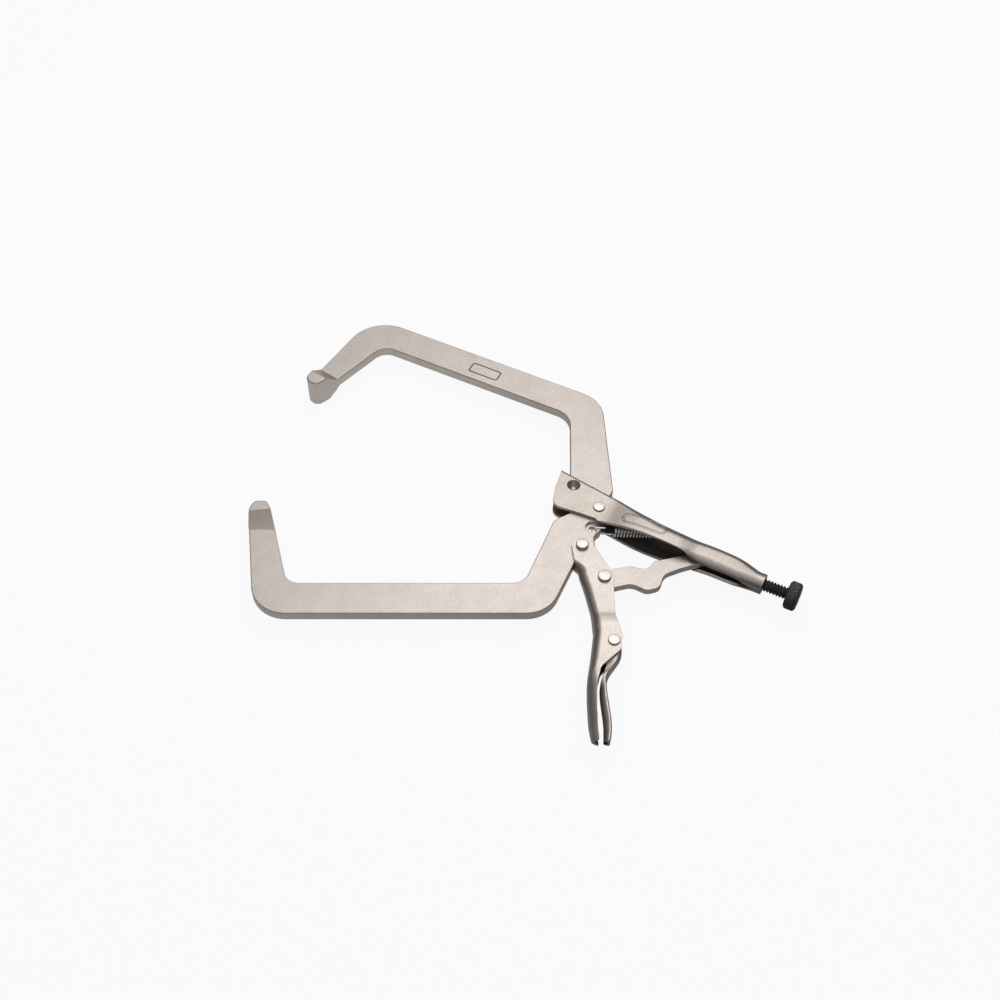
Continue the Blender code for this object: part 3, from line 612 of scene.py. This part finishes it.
def fixed_handle():
    """The fixed handle's folded shell, from flat nose cheeks through a belly to the neck.

    Each station has its place along the axis, its back, its free edges, its half width, the
    back's corners, the radius that the cheeks curl in with, and the half width they end at.
    """
    tube = NECK_R
    stations = [
        (-46, 28.7, -16.0, GRIP, 3.2, 6.0, GRIP),
        (-8, 23.1, -9.0, GRIP, 3.2, 6.0, GRIP),
        (4, 21.4, -6.0, GRIP, 3.4, 6.0, GRIP),
        (10, 20.5, -5.2, GRIP + 0.5, 3.9, 6.0, GRIP + 0.5),
        (16, 18.9, -4.9, 8.9, 4.7, 6.0, 8.9),
        (24, 16.6, -4.8, 10.8, 6.0, 6.0, 10.8),
        (33, 14.8, -4.9, 12.4, 7.8, 6.0, 12.4),
        (42, 13.6, -5.0, BELLY - 0.1, 9.0, 6.0, BELLY - 0.1),
        (48, 12.9, -5.0, BELLY, 9.6, 6.0, BELLY),
        (58, 12.3, -5.1, 13.0, 9.8, 6.0, 12.8),
        (68, 12.0, -5.3, 12.2, 9.6, 6.0, 11.8),
        (74, 12.1, -5.7, 11.3, 9.4, 6.0, 10.2),
        (78.5, 12.3, -6.6, 10.5, 9.2, 6.0, 7.0),
        (83, 12.1, -7.3, 9.9, 8.0, 7.0, 6.2),
        (95, 12.2, -7.5, 9.2, 6.8, 9.0, 5.0),
        (109, 11.7, -7.6, 8.8, 6.6, 8.6, 4.8),
        (116, 11.1, -7.7, 8.5, 7.0, 8.2, 4.4),
        (121, 10.4, -tube, 8.2, 7.9, 7.3, 2.6),
        (126, 8.9, -tube, 7.9, 7.8, 7.6, 1.0),
        (130, tube, -tube, tube, tube - 0.01, tube - 0.01, 0.4),
        (NECK_END, tube, -tube, tube, tube - 0.01, tube - 0.01, 0.4)]
    sections = []
    for along, *sizes in smooth_stations(stations):

        def place(above, across, at=along):
            """A point of the section at this station."""
            return body_point(at, above, across)

        sections.append(channel_section(place, SHEET, *sizes))
    handle = shell("fixed_handle_shell", sections)
    boolean(handle, prism("nose_profile", body_outline([
        (-43.0, 40.0, 0), (150, 40.0, 0), (150, -20.0, 0),
        (10, -20.0, 0), (3, -4.6, 2), (-10, -5.2, 0), (-33.2, -7.4, 8), (-37.9, 9.0, 20)]),
        -CROSS_REACH, CROSS_REACH), "INTERSECT")
    opening = GRIP - SHEET + FORK_EASE
    boolean(handle, prism("jaw_slot", body_outline([
        (-CUT_REACH, 12.0, 0), (JAW_SLOT_END, 12.0, 0), (JAW_SLOT_END, CUT_REACH, 0),
        (-CUT_REACH, CUT_REACH, 0)]), -opening, opening))
    boolean(handle, spring_anchor(), "UNION")
    for side in (1, -1):
        boolean(handle, sided_cone(
            "boss", DIMPLE_AT, DIMPLE_BOSS_END / 2, DIMPLE_BOSS / 2,
            side * (GRIP - SHEET - DIMPLE_REACH), side * (GRIP - SHEET + DIMPLE_ROOT)), "UNION")
        boolean(handle, sided_cone(
            "cup", DIMPLE_AT, DIMPLE_FLOOR / 2, DIMPLE_MOUTH / 2,
            side * (GRIP - DIMPLE_DEPTH), side * (GRIP + DIMPLE_PROUD)))
    rivet_hole(handle, (0, 0), JAW_RIVET)
    return settle(handle)


def spring_anchor():
    """The tab inside the fixed handle that holds the spring's rear hook."""
    local = Matrix.Rotation(math.radians(-BODY_ANGLE), 2) @ ANCHOR_HOLE
    along, above = local.x, local.y + AXIS_DROP
    half = ANCHOR_W / 2
    tab = prism("spring_anchor", body_outline([
        (along - half, above - half - 0.5, 2.5), (along + half, above - half - 0.5, 2.5),
        (along + half + 1.0, ANCHOR_ROOT, 0), (along - half - 1.0, ANCHOR_ROOT, 0)]),
        -ANCHOR_T / 2, ANCHOR_T / 2)
    drill(tab, ANCHOR_HOLE, EAR_HOLE_D)
    return tab


def side_channel(name, stations, sheet, corner, lean, roll=0.0):
    """A channel given by pairs of plan points, its back and its free edge, with a half width.

    Past LEVER_TAIL the cheeks lean in towards the free edges by the share lean, or towards the
    back where that is negative, and the free edges roll in by roll.
    """
    bend_share = 0.6 if roll else 0.95
    sections = []
    for back_x, back_y, edge_x, edge_y, width in smooth_stations(stations):
        back = Vector((back_x, back_y))
        inward = Vector((edge_x, edge_y)) - back
        depth = inward.length
        inward.normalize()
        share = max(0.0, min(1.0, (LEVER_TAIL - back_y) / ROLL_RUN))

        def place(above, across, back=back, inward=inward, depth=depth, lean=lean * share):
            """A point of the section at this station, its cheeks leaning."""
            flat = back + inward * (depth - above)
            taper = (1 - lean * (1 - above / depth)) / (1 - min(lean, 0))
            return Vector((flat.x, flat.y, across * taper))

        bend = min(corner, width - BACK_LEAST, depth * bend_share)
        curl = min(depth - bend, FREE_EDGE)
        edge = width - roll * share
        sections.append(channel_section(place, sheet, depth, 0.0, width, bend, curl, edge))
    return shell(name, sections)


def lower_handle():
    """The moving handle's folded shell."""
    handle = side_channel("lower_handle_shell", [
        (-36.0, -20.0, 4.0, -20.0, GRIP), (-33.0, -36.0, 4.0, -36.0, GRIP),
        (-27.0, -47.0, 5.0, -47.0, GRIP), (-18.4, -55.5, 6.5, -56.0, GRIP),
        (-16.9, -62.0, 9.0, -63.0, GRIP), (-14.0, -73.5, 9.0, -73.5, GRIP),
        (-12.1, -83.0, 9.0, -83.5, GRIP), (-10.7, -90.0, 9.0, -90.5, GRIP - 0.1),
        (-9.9, -95.0, 9.0, -95.5, GRIP - 0.05), (-9.45, -99.5, 9.0, -100.0, GRIP + 0.65),
        (-9.15, -104.0, 9.0, -104.5, FLARE + 0.2), (-9.0, -108.0, 10.8, -108.0, FLARE + 0.15),
        (-8.9, -112.0, 12.5, -111.5, FLARE),
        (-10.2, -122.0, 12.6, -121.0, FLARE), (-11.4, -130.5, 12.0, -129.5, FLARE - 0.3),
        (-12.7, -138.5, 0.0, -137.5, GRIP), (-14.0, -146.0, -3.6, -145.0, 6.9),
        (-14.9, -153.5, -6.4, -153.0, 6.7), (-15.4, -163.0, -7.7, -162.5, TAIL_W),
        (-15.4, -175.0, -8.4, -175.0, TAIL_W), (-15.2, -185.0, -8.9, -185.5, TAIL_W),
        (-14.3, -192.5, -8.6, -193.0, 6.3), (-13.4, -198.2, -8.2, -198.6, 5.4)],
        SHEET, HANDLE_BEND, HANDLE_LEAN)
    boolean(handle, prism("lower_handle_profile", [
        *arc(HANDLE_PIVOT, HANDLE_EYE_R, 28, 190),
        (-19.8, -55.0, 0), (-30, -55.0, 0), (-30.0, -197.0, 0), (-7.6, -197.0, 2.0),
        (-8.9, -175.0, 20), (-7.9, -154.0, 12), (-4.6, -141.0, 8), (9.6, -128.0, 5),
        (11.8, -116.0, 8), (7.4, -98.0, 20), (7.7, -62.0, 14)],
        -CROSS_REACH, CROSS_REACH), "INTERSECT")
    slot = GRIP - SHEET + FORK_EASE
    boolean(handle, prism("fork_slot", [
        (-40, -53.0, 0), (-8, -53.0, 2), (-8, -20.0, 0), (-40, -20.0, 0)], -slot, slot))
    rivet_hole(handle, HANDLE_PIVOT, HANDLE_RIVET)
    rivet_hole(handle, LINK_PIVOT, LINK_RIVET)
    rivet_hole(handle, LEVER_PIVOT, LEVER_RIVET)
    return settle(handle)


def release_lever():
    """The release lever's folded shell."""
    lever = side_channel("release_lever_shell", [
        (3.4, -98.5, -3.3, -99.5, LEVER_GRIP), (6.6, -107.5, -2.7, -109.0, LEVER_GRIP + 0.5),
        (9.2, -116.0, -2.2, -118.5, LEVER_GRIP + 0.8), (10.7, -122.5, -1.0, -126.0, LEVER_GRIP + 0.8),
        (10.8, -127.5, -0.4, -132.0, LEVER_GRIP + 0.4), (9.2, -132.8, -0.6, -137.5, LEVER_GRIP),
        (5.3, -138.4, -2.2, -143.6, 5.0), (1.9, -143.2, -4.0, -148.0, 5.8),
        (-0.3, -148.2, -5.2, -151.6, LEVER_TAIL_W), (-1.2, -154.0, -6.1, -156.0, LEVER_TAIL_W),
        (-1.1, -159.5, -6.3, -160.5, LEVER_TAIL_W), (-0.5, -166.0, -6.1, -167.0, LEVER_TAIL_W),
        (0.1, -173.0, -5.5, -174.5, LEVER_TAIL_W), (0.8, -181.5, -4.9, -182.5, LEVER_TAIL_W),
        (0.5, -191.0, -5.0, -191.3, 5.9), (-0.8, -197.6, -5.5, -197.9, 5.4)],
        LEVER_SHEET, LEVER_BEND, LEVER_LEAN, ROLL)
    rivet_hole(lever, LEVER_PIVOT, LEVER_RIVET)
    return settle(lever)


def toggle_link():
    """The toggle link's plate, with its eye, hump and rounded end."""
    way = body_point(LINK_END_AT, 0).xy - LINK_PIVOT
    reach = way.length
    link = prism("toggle_link_plate", [
        *arc((0, 0), EYE_R, 100, 262),
        (18.0, -8.6, 10), (27.0, -17.4, 7), (37.0, -17.4, 7), (44.0, -7.2, 10), (58.0, -5.4, 20),
        (reach, -LINK_END_R + 0.4, 0),
        *arc((reach, 0), LINK_END_R, -80, 80),
        (52.0, 5.8, 10), (41.5, 6.2, 6), (32.8, 0.2, 7), (23.0, 6.8, 8), (10.0, 7.8, 8)],
        -LINK_T / 2, LINK_T / 2, EDGE * 0.6)
    rivet_hole(link, (0, 0), LINK_RIVET)
    settle(link)
    turn = Matrix.Rotation(math.atan2(way.y, way.x), 4, "Z")
    link.data.transform(Matrix.Translation((LINK_PIVOT.x * MM, LINK_PIVOT.y * MM, 0)) @ turn)
    return link


def washer(side):
    """One of the washers that centre the link in the handle."""
    thickness = GRIP - SHEET - LINK_T / 2 - 2 * FIT_GAP
    middle = side * (LINK_T / 2 + FIT_GAP + thickness / 2)
    made = cone("link_washer_" + ("over" if side > 0 else "under"), LINK_PIVOT, WASHER_D / 2,
                WASHER_D / 2, middle - thickness / 2, middle + thickness / 2)
    rivet_hole(made, LINK_PIVOT, LINK_RIVET)
    return settle(made)


def rivet(name, centre, sizes, grip):
    """A rivet with two slightly domed heads."""
    shank, head, height, dome = sizes
    dome_steps, edge_steps = 6, 5
    under = grip + FIT_GAP
    top = under + height
    edge = min(RIVET_EDGE, height / 2)
    flat = head / 2 - edge
    half = [(flat * k / dome_steps, top - dome * (k / dome_steps) ** 2) for k in range(dome_steps + 1)]
    for k in range(1, edge_steps + 1):
        a = math.pi / 2 * k / edge_steps
        half.append((flat + edge * math.sin(a), top - dome - (edge - POINT_GAP) * (1 - math.cos(a))))
    half += [(head / 2, under), (shank / 2, under)]
    profile = half + [(radius, -level) for radius, level in reversed(half)]
    made = add_object(name, turned_mesh(name, profile))
    made.data.transform(Matrix.Translation((centre[0] * MM, centre[1] * MM, 0)))
    return settle(made)


def wire_tube(name, route, radius):
    """A round wire along a route, with closed ends."""
    rings = []
    normal = None
    for k, point in enumerate(route):
        way = (route[min(k + 1, len(route) - 1)] - route[max(k - 1, 0)]).normalized()
        if normal is None:
            normal = way.orthogonal().normalized()
        normal = (normal - way * normal.dot(way)).normalized()
        side = way.cross(normal)
        turns = [2 * math.pi * j / WIRE_SIDES for j in range(WIRE_SIDES)]
        rings.append([point + (normal * math.cos(a) + side * math.sin(a)) * radius for a in turns])
    return skin_rings(name, rings, THREAD_SHARP)


def spring():
    """The return spring: front hook, coil and rear hook in one wire."""
    mean = (COIL_D - WIRE_D) / 2
    coil_l = COIL_TURNS * COIL_PITCH
    total = COIL_TURNS * COIL_POINTS

    def hook(centre, start):
        """Half a turn of wire about a point of the spring's line."""
        angles = (math.radians(start + 180 * k / HOOK_STEPS) for k in range(HOOK_STEPS + 1))
        return [Vector((centre + mean * math.cos(a), 0, mean * math.sin(a))) for a in angles]

    points = [Vector((mean + HOOK_END, 0, mean)), *hook(mean, 90)]
    for k in range(total + 1):
        a = math.pi + 2 * math.pi * k / COIL_POINTS
        points.append(Vector((COIL_START + coil_l * k / total, mean * math.sin(a), mean * math.cos(a))))
    points += [*hook(SPRING_L - mean, -90), Vector((SPRING_L - mean - REAR_HOOK_END, 0, mean))]
    place = (Matrix.Translation((EAR_HOLE.x, EAR_HOLE.y, 0))
             @ Matrix.Rotation(math.radians(SPRING_ANGLE), 4, "Z"))
    return wire_tube("spring_wire", [place @ point for point in points], WIRE_D / 2)


def lay_on_axis(made):
    """Turn a piece made about Z onto the screw's axis."""
    lay = Matrix.Rotation(math.radians(90), 4, "Y")
    spin = Matrix.Rotation(math.radians(BODY_ANGLE), 4, "Z")
    made.data.transform(Matrix.Translation(body_point(0, 0) * MM) @ spin @ lay)
    return made


def screw_thread():
    """The adjusting screw's shank with its rolled thread."""
    start = LINK_END_AT + LINK_END_R + SCREW_PLAY
    end = SCREW_HEAD_AT
    per_turn, per_pitch = 36, 10
    flank, root, tip_cut, tip_l = 1.25, 0.1, 1.2, 1.6
    rows = math.ceil((end - start) / THREAD_PITCH * per_pitch)

    def radius(level, share):
        """The V thread's radius at a height and a share of the turn, faded at the tip."""
        phase = (level / THREAD_PITCH - share) % 1.0
        depth = THREAD_DEPTH * min(1.0, max(0.0, abs(2 * phase - 1) * flank - root))
        return SCREW_D / 2 - depth - tip_cut * max(0.0, 1 - (level - start) / tip_l)

    levels = [start + (end - start) * row / rows for row in range(rows + 1)]
    rings = [ring_points(level, per_turn, radius) for level in levels]
    return lay_on_axis(skin_rings("screw_thread", rings, THREAD_SHARP))


def screw_head():
    """The screw's knurled head with chamfered rims."""
    low = SCREW_HEAD_AT
    high = SCREW_HEAD_AT + SCREW_HEAD_L
    crest = SCREW_HEAD_D / 2
    cut = HEAD_CHAMFER
    knurl_rows, per_tooth = 26, 8
    knurl_l = SCREW_HEAD_L - 2 * cut
    levels = [(low, crest - cut * 1.2, 0), (low + cut * 0.5, crest - cut * 0.45, 0.4)]
    levels += [(low + cut + knurl_l * k / knurl_rows, crest, 1) for k in range(knurl_rows + 1)]
    levels += [(high - cut * 0.5, crest - cut * 0.45, 0.4), (high - cut * 0.1, crest - cut, 0),
               (high, crest - cut * 1.3, 0)]
    rings = []
    for height, rim, knurled in levels:

        def radius(level, share, rim=rim, knurled=knurled):
            """The rim's radius, less two crossing sets of grooves where it is knurled."""
            twist = (level - low) / (2 * math.pi * crest) * KNURL_SLANT
            rise = abs(math.sin(math.pi * KNURL_TEETH * (share + twist)))
            fall = abs(math.sin(math.pi * KNURL_TEETH * (share - twist)))
            return rim - KNURL_DEPTH * knurled * (1 - min(rise, fall))

        rings.append(ring_points(height, KNURL_TEETH * per_tooth, radius))
    return lay_on_axis(skin_rings("screw_head", rings, KNURL_SHARP))


def node(tree, kind, **inputs):
    """A shader node with its inputs or properties set."""
    made = tree.nodes.new(kind)
    for name, value in inputs.items():
        label = name.replace("_", " ")
        if label in made.inputs:
            made.inputs[label].default_value = value
        else:
            setattr(made, name, value)
    return made


def ramp_node(tree, stops, source):
    """A colour ramp with (place, colour) stops, driven by a socket."""
    made = tree.nodes.new("ShaderNodeValToRGB")
    ramp = made.color_ramp
    while len(ramp.elements) < len(stops):
        ramp.elements.new(0.5)
    for element, (place, colour) in zip(ramp.elements, stops):
        element.position = place
        element.color = (*colour, 1.0)
    tree.links.new(source, made.inputs["Fac"])
    return made.outputs["Color"]


def math_node(tree, operation, *values):
    """A Math node of sockets or numbers; gives its result."""
    made = node(tree, "ShaderNodeMath", operation=operation)
    for socket, value in zip(made.inputs, values):
        if isinstance(value, bpy.types.NodeSocket):
            tree.links.new(value, socket)
        else:
            socket.default_value = value
    return made.outputs[0]


def span(tree, source, low, high, start, end, kind="SMOOTHSTEP"):
    """A change from start to end as the source goes from low to high."""
    made = node(tree, "ShaderNodeMapRange", interpolation_type=kind, From_Min=low, From_Max=high,
                To_Min=start, To_Max=end)
    tree.links.new(source, made.inputs["Value"])
    return made.outputs["Result"]


def mix_shaders(tree, share, first, second):
    """A mix of two shader nodes by a socket; gives its result."""
    made = tree.nodes.new("ShaderNodeMixShader")
    for source, socket in zip((share, first.outputs[0], second.outputs[0]), made.inputs):
        tree.links.new(source, socket)
    return made.outputs[0]


def split_axes(tree, source):
    """The X, Y and Z of a vector socket, as a node's outputs."""
    made = tree.nodes.new("ShaderNodeSeparateXYZ")
    tree.links.new(source, made.inputs[0])
    return made.outputs


def panel_height(tree, place):
    """The height of a plain raised panel with round ends and a sunk line along its rim."""
    turn = node(tree, "ShaderNodeMapping", vector_type="TEXTURE")
    turn.inputs["Location"].default_value = ORIGIN + body_point(*PANEL_AT) * MM
    turn.inputs["Rotation"].default_value = (0, 0, math.radians(BODY_ANGLE))
    tree.links.new(place, turn.inputs["Vector"])
    axes = split_axes(tree, turn.outputs[0])
    radius = PANEL_SIZE[1] / 2 * MM
    straight = PANEL_SIZE[0] / 2 * MM - radius
    beyond = math_node(tree, "SUBTRACT", math_node(tree, "ABSOLUTE", axes["X"]), straight)
    beyond = math_node(tree, "MAXIMUM", beyond, 0.0)
    squares = math_node(tree, "ADD", math_node(tree, "POWER", beyond, 2.0),
                        math_node(tree, "MULTIPLY", axes["Y"], axes["Y"]))
    distance = math_node(tree, "SUBTRACT", math_node(tree, "SQRT", squares), radius)
    raised = span(tree, distance, -PANEL_EDGE * MM, PANEL_EDGE * MM, 1.0, 0.0)
    line = math_node(tree, "ABSOLUTE", math_node(tree, "ADD", distance, PANEL_RIM * MM))
    sunk = span(tree, line, PANEL_LINE[0] * MM, PANEL_LINE[1] * MM, PANEL_LINE_LEVEL, 1.0)
    near = math_node(tree, "GREATER_THAN", axes["Z"], 0.0)
    return math_node(tree, "MULTIPLY", math_node(tree, "MULTIPLY", raised, sunk), near)


def plated(name, light, dark, roughness, metallic, grain, bump, edge=0.25, panel=False, worn=None):
    """Plated or blackened steel: two tones of cloudy colour, fine blasted grain, rounded edges."""
    made = bpy.data.materials.new(name)
    made.use_nodes = True
    made.diffuse_color = (*light, 1.0)
    tree = made.node_tree
    shader = tree.nodes["Principled BSDF"]
    shader.inputs["Metallic"].default_value = metallic
    place = tree.nodes.new("ShaderNodeTexCoord").outputs["Object"]
    cloud = node(tree, "ShaderNodeTexNoise", Scale=CLOUD_SCALE, Detail=4.0, Roughness=0.6)
    fine = node(tree, "ShaderNodeTexNoise", Scale=grain, Detail=3.0, Roughness=0.65)
    for noise in (cloud, fine):
        tree.links.new(place, noise.inputs["Vector"])
    clouds = math_node(tree, "MULTIPLY", cloud.outputs["Fac"], 1 - GRAIN_SHARE)
    mixed = math_node(tree, "MULTIPLY_ADD", fine.outputs["Fac"], GRAIN_SHARE, clouds)
    stops = list(zip(TONES_AT, (dark, light)))
    if worn:
        stops += zip(WORN_AT, (light, worn))
    tree.links.new(ramp_node(tree, stops, mixed), shader.inputs["Base Color"])
    rough_span = [roughness + change for change in ROUGH_SPREAD]
    rough = span(tree, mixed, *ROUGH_AT, *rough_span, "LINEAR")
    tree.links.new(rough, shader.inputs["Roughness"])
    round_off = node(tree, "ShaderNodeBevel", samples=6, Radius=edge * MM)
    relief = node(tree, "ShaderNodeBump", Strength=bump, Distance=GRAIN_RELIEF * MM)
    tree.links.new(fine.outputs["Fac"], relief.inputs["Height"])
    base = round_off
    if panel:
        base = node(tree, "ShaderNodeBump", Strength=1.0, Distance=PANEL_RISE * MM)
        tree.links.new(panel_height(tree, place), base.inputs["Height"])
        tree.links.new(round_off.outputs["Normal"], base.inputs["Normal"])
    tree.links.new(base.outputs["Normal"], relief.inputs["Normal"])
    tree.links.new(relief.outputs["Normal"], shader.inputs["Normal"])
    return made


def satin_nickel():
    """The blasted plate of the jaws and the link."""
    return plated("satin_nickel_grain", (0.62, 0.565, 0.52), (0.50, 0.445, 0.405),
                  roughness=0.43, metallic=0.88, grain=1500.0, bump=0.6)


def pressed_nickel():
    """The smoother plate of the lower handle and the lever."""
    return plated("satin_nickel_pressed", (0.54, 0.485, 0.44), (0.43, 0.38, 0.34),
                  roughness=0.34, metallic=0.93, grain=1700.0, bump=0.4, edge=0.4)


def marked_nickel():
    """The fixed handle's plate, a little darker, with a raised panel on its near cheek."""
    return plated("satin_nickel_marked", (0.475, 0.425, 0.383), (0.37, 0.325, 0.288),
                  roughness=0.34, metallic=0.93, grain=1700.0, bump=0.4, edge=0.4, panel=True)


def painted_shade_nickel():
    """Painted shade: a dark copy of the nickel for the inside of the folded sheets, also used for the
    floor of the pressed frame.
    """
    return plated("painted_shade_inside", (0.15, 0.135, 0.12), (0.08, 0.07, 0.062),
                  roughness=0.6, metallic=0.6, grain=1500.0, bump=0.3)


def rivet_nickel():
    """The brighter rivet heads and washers."""
    return plated("rivet_nickel", (0.68, 0.63, 0.58), (0.58, 0.53, 0.48),
                  roughness=0.35, metallic=0.9, grain=2000.0, bump=0.3)


def spring_steel():
    """The spring's drawn wire, its colour painted light to make up for the shade of the handle over it.
    """
    return plated("spring_wire_painted_light", (0.92, 0.91, 0.90), (0.80, 0.79, 0.78),
                  roughness=0.25, metallic=0.8, grain=2400.0, bump=0.1)


def black_oxide():
    """The screw's blackened steel, worn bright in small flecks."""
    return plated("black_oxide_steel", (0.065, 0.063, 0.068), (0.028, 0.028, 0.031),
                  roughness=0.42, metallic=0.4, grain=1300.0, bump=0.4, worn=(0.30, 0.29, 0.31))


def pale_floor():
    """A white floor that the camera sees as bright, and that still takes a soft shadow."""
    made = bpy.data.materials.new("pale_floor")
    made.use_nodes = True
    tree = made.node_tree
    tree.nodes.clear()
    out = tree.nodes.new("ShaderNodeOutputMaterial")
    matt = node(tree, "ShaderNodeBsdfDiffuse", Color=(0.8, 0.8, 0.8, 1.0))
    glow = node(tree, "ShaderNodeEmission", Color=(1.0, 1.0, 1.0, 1.0))
    path = tree.nodes.new("ShaderNodeLightPath").outputs
    away = node(tree, "ShaderNodeVectorMath", operation="DISTANCE")
    away.inputs[1].default_value = FLOOR_GLOW_AT
    tree.links.new(tree.nodes.new("ShaderNodeTexCoord").outputs["Object"], away.inputs[0])
    in_metal = span(tree, away.outputs["Value"], *FLOOR_GLOW_SPAN)
    level = math_node(tree, "MAXIMUM", in_metal, path["Is Camera Ray"])
    tree.links.new(level, glow.inputs["Strength"])
    seen = math_node(tree, "MULTIPLY", path["Is Camera Ray"], FLOOR_SEEN)
    share = math_node(tree, "MULTIPLY_ADD", path["Is Glossy Ray"], FLOOR_SHINE, seen)
    tree.links.new(mix_shaders(tree, share, matt, glow), out.inputs["Surface"])
    return made


def lay_floor():
    """The floor, just under the clamp."""
    level = CAD_BOX[0][2] - FLOOR_DROP
    mesh = bpy.data.meshes.new("floor")
    mesh.from_pydata([(x * FLOOR_HALF, y * FLOOR_HALF, level) for x, y in CORNERS], [], [(0, 1, 2, 3)])
    floor = add_object("floor", mesh)
    floor.data.materials.append(pale_floor())


def sky():
    """The room's light, pale above and dark below, dimmer in front and at the sides."""
    world = bpy.data.worlds.new("studio")
    bpy.context.scene.world = world
    world.use_nodes = True
    tree = world.node_tree
    tree.nodes.clear()
    out = tree.nodes.new("ShaderNodeOutputWorld")
    axes = split_axes(tree, tree.nodes.new("ShaderNodeTexCoord").outputs["Generated"])
    room = tree.nodes.new("ShaderNodeBackground")
    tree.links.new(ramp_node(tree, SKY_TONES, axes["Z"]), room.inputs["Color"])
    lengthways = span(tree, axes["Y"], *SKY_BACK_SPAN)
    sideways = span(tree, math_node(tree, "ABSOLUTE", axes["X"]), *SKY_SIDE_SPAN)
    tree.links.new(math_node(tree, "MULTIPLY", lengthways, sideways), room.inputs["Strength"])
    white = node(tree, "ShaderNodeBackground", Color=(1.0, 1.0, 1.0, 1.0), Strength=1.0)
    path = tree.nodes.new("ShaderNodeLightPath").outputs
    tree.links.new(mix_shaders(tree, path["Is Camera Ray"], room, white), out.inputs["Surface"])


def area_lamp(name, place, size, power):
    """A square soft lamp that points at the clamp's middle."""
    lamp = bpy.data.lights.new(name, "AREA")
    lamp.energy = power
    lamp.size = size
    made = add_object(name, lamp)
    made.location = place
    made.rotation_euler = (-made.location).to_track_quat("-Z", "Y").to_euler()


def camera():
    """The photograph's camera."""
    lens = bpy.data.cameras.new("camera")
    lens.lens = CAMERA_LENS
    lens.sensor_width = CAMERA_SENSOR
    lens.clip_start = CAMERA_NEAR * MM
    made = add_object("camera", lens)
    tilt = math.radians(CAMERA_TILT)
    away = Vector((0, -math.cos(tilt), math.sin(tilt))) * CAMERA_AWAY * MM
    made.location = world_point(CAMERA_AIM) + away
    made.rotation_euler = (math.pi / 2 - tilt, 0, 0)
    bpy.context.scene.camera = made


def dress(made, body, surfaces, slot, *nodes):
    """Move a piece to its place in the frame, give it its finishes, and let it stand for its nodes."""
    made.data.transform(Matrix.Translation(ORIGIN))
    finishes = made.data.materials
    ready = len(finishes)
    for k, surface in enumerate(surfaces):
        if k < ready:
            finishes[k] = surface
        else:
            finishes.append(surface)
    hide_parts(*nodes)
    if body:
        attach(made, body)
    return made


nickel = satin_nickel()
pressed = pressed_nickel()
# hollow holds painted shade for the sheets' insides and the pressed frame's floor
hollow = painted_shade_nickel()
bright = rivet_nickel()
black = black_oxide()

dress(fixed_handle(), "fixed_body", [marked_nickel(), hollow], "satin_nickel", "fixed_handle")
dress(upper_jaw(), "fixed_body", [nickel, hollow], "satin_nickel", "upper_jaw")
dress(rivet("jaw_rivet_heads", (0, 0), JAW_RIVET, GRIP), "fixed_body", [bright],
      "satin_nickel", "jaw_rivet")
dress(lower_jaw(), "moving_jaw", [nickel], "satin_nickel", "lower_jaw")
dress(lower_handle(), "closing_handle", [pressed, hollow], "satin_nickel", "lower_handle")
dress(rivet("handle_rivet_heads", HANDLE_PIVOT, HANDLE_RIVET, GRIP), "closing_handle", [bright],
      "satin_nickel", "handle_rivet")
dress(rivet("link_rivet_heads", LINK_PIVOT, LINK_RIVET, GRIP), "closing_handle", [bright],
      "satin_nickel", "link_rivet")
dress(rivet("lever_rivet_heads", LEVER_PIVOT, LEVER_RIVET, FLARE), "closing_handle", [bright],
      "satin_nickel", "lever_rivet")
dress(washer(1), "closing_handle", [bright], "satin_nickel", "link_washer_upper")
dress(washer(-1), "closing_handle", [bright], "satin_nickel", "link_washer_lower")
dress(toggle_link(), "toggle", [nickel], "satin_nickel", "toggle_link")
dress(release_lever(), "release", [pressed, hollow], "satin_nickel", "release_lever")
dress(screw_thread(), "screw", [black], "black_oxide", "adjusting_screw")
dress(screw_head(), "screw", [black], "black_oxide", "adjusting_screw")
coil = dress(spring(), "", [spring_steel()], "spring_steel", "return_spring")
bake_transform(coil)

lay_floor()
sky()
for lamp_values in LAMPS:
    area_lamp(*lamp_values)
camera()
bpy.context.scene.view_settings.view_transform = "Standard"
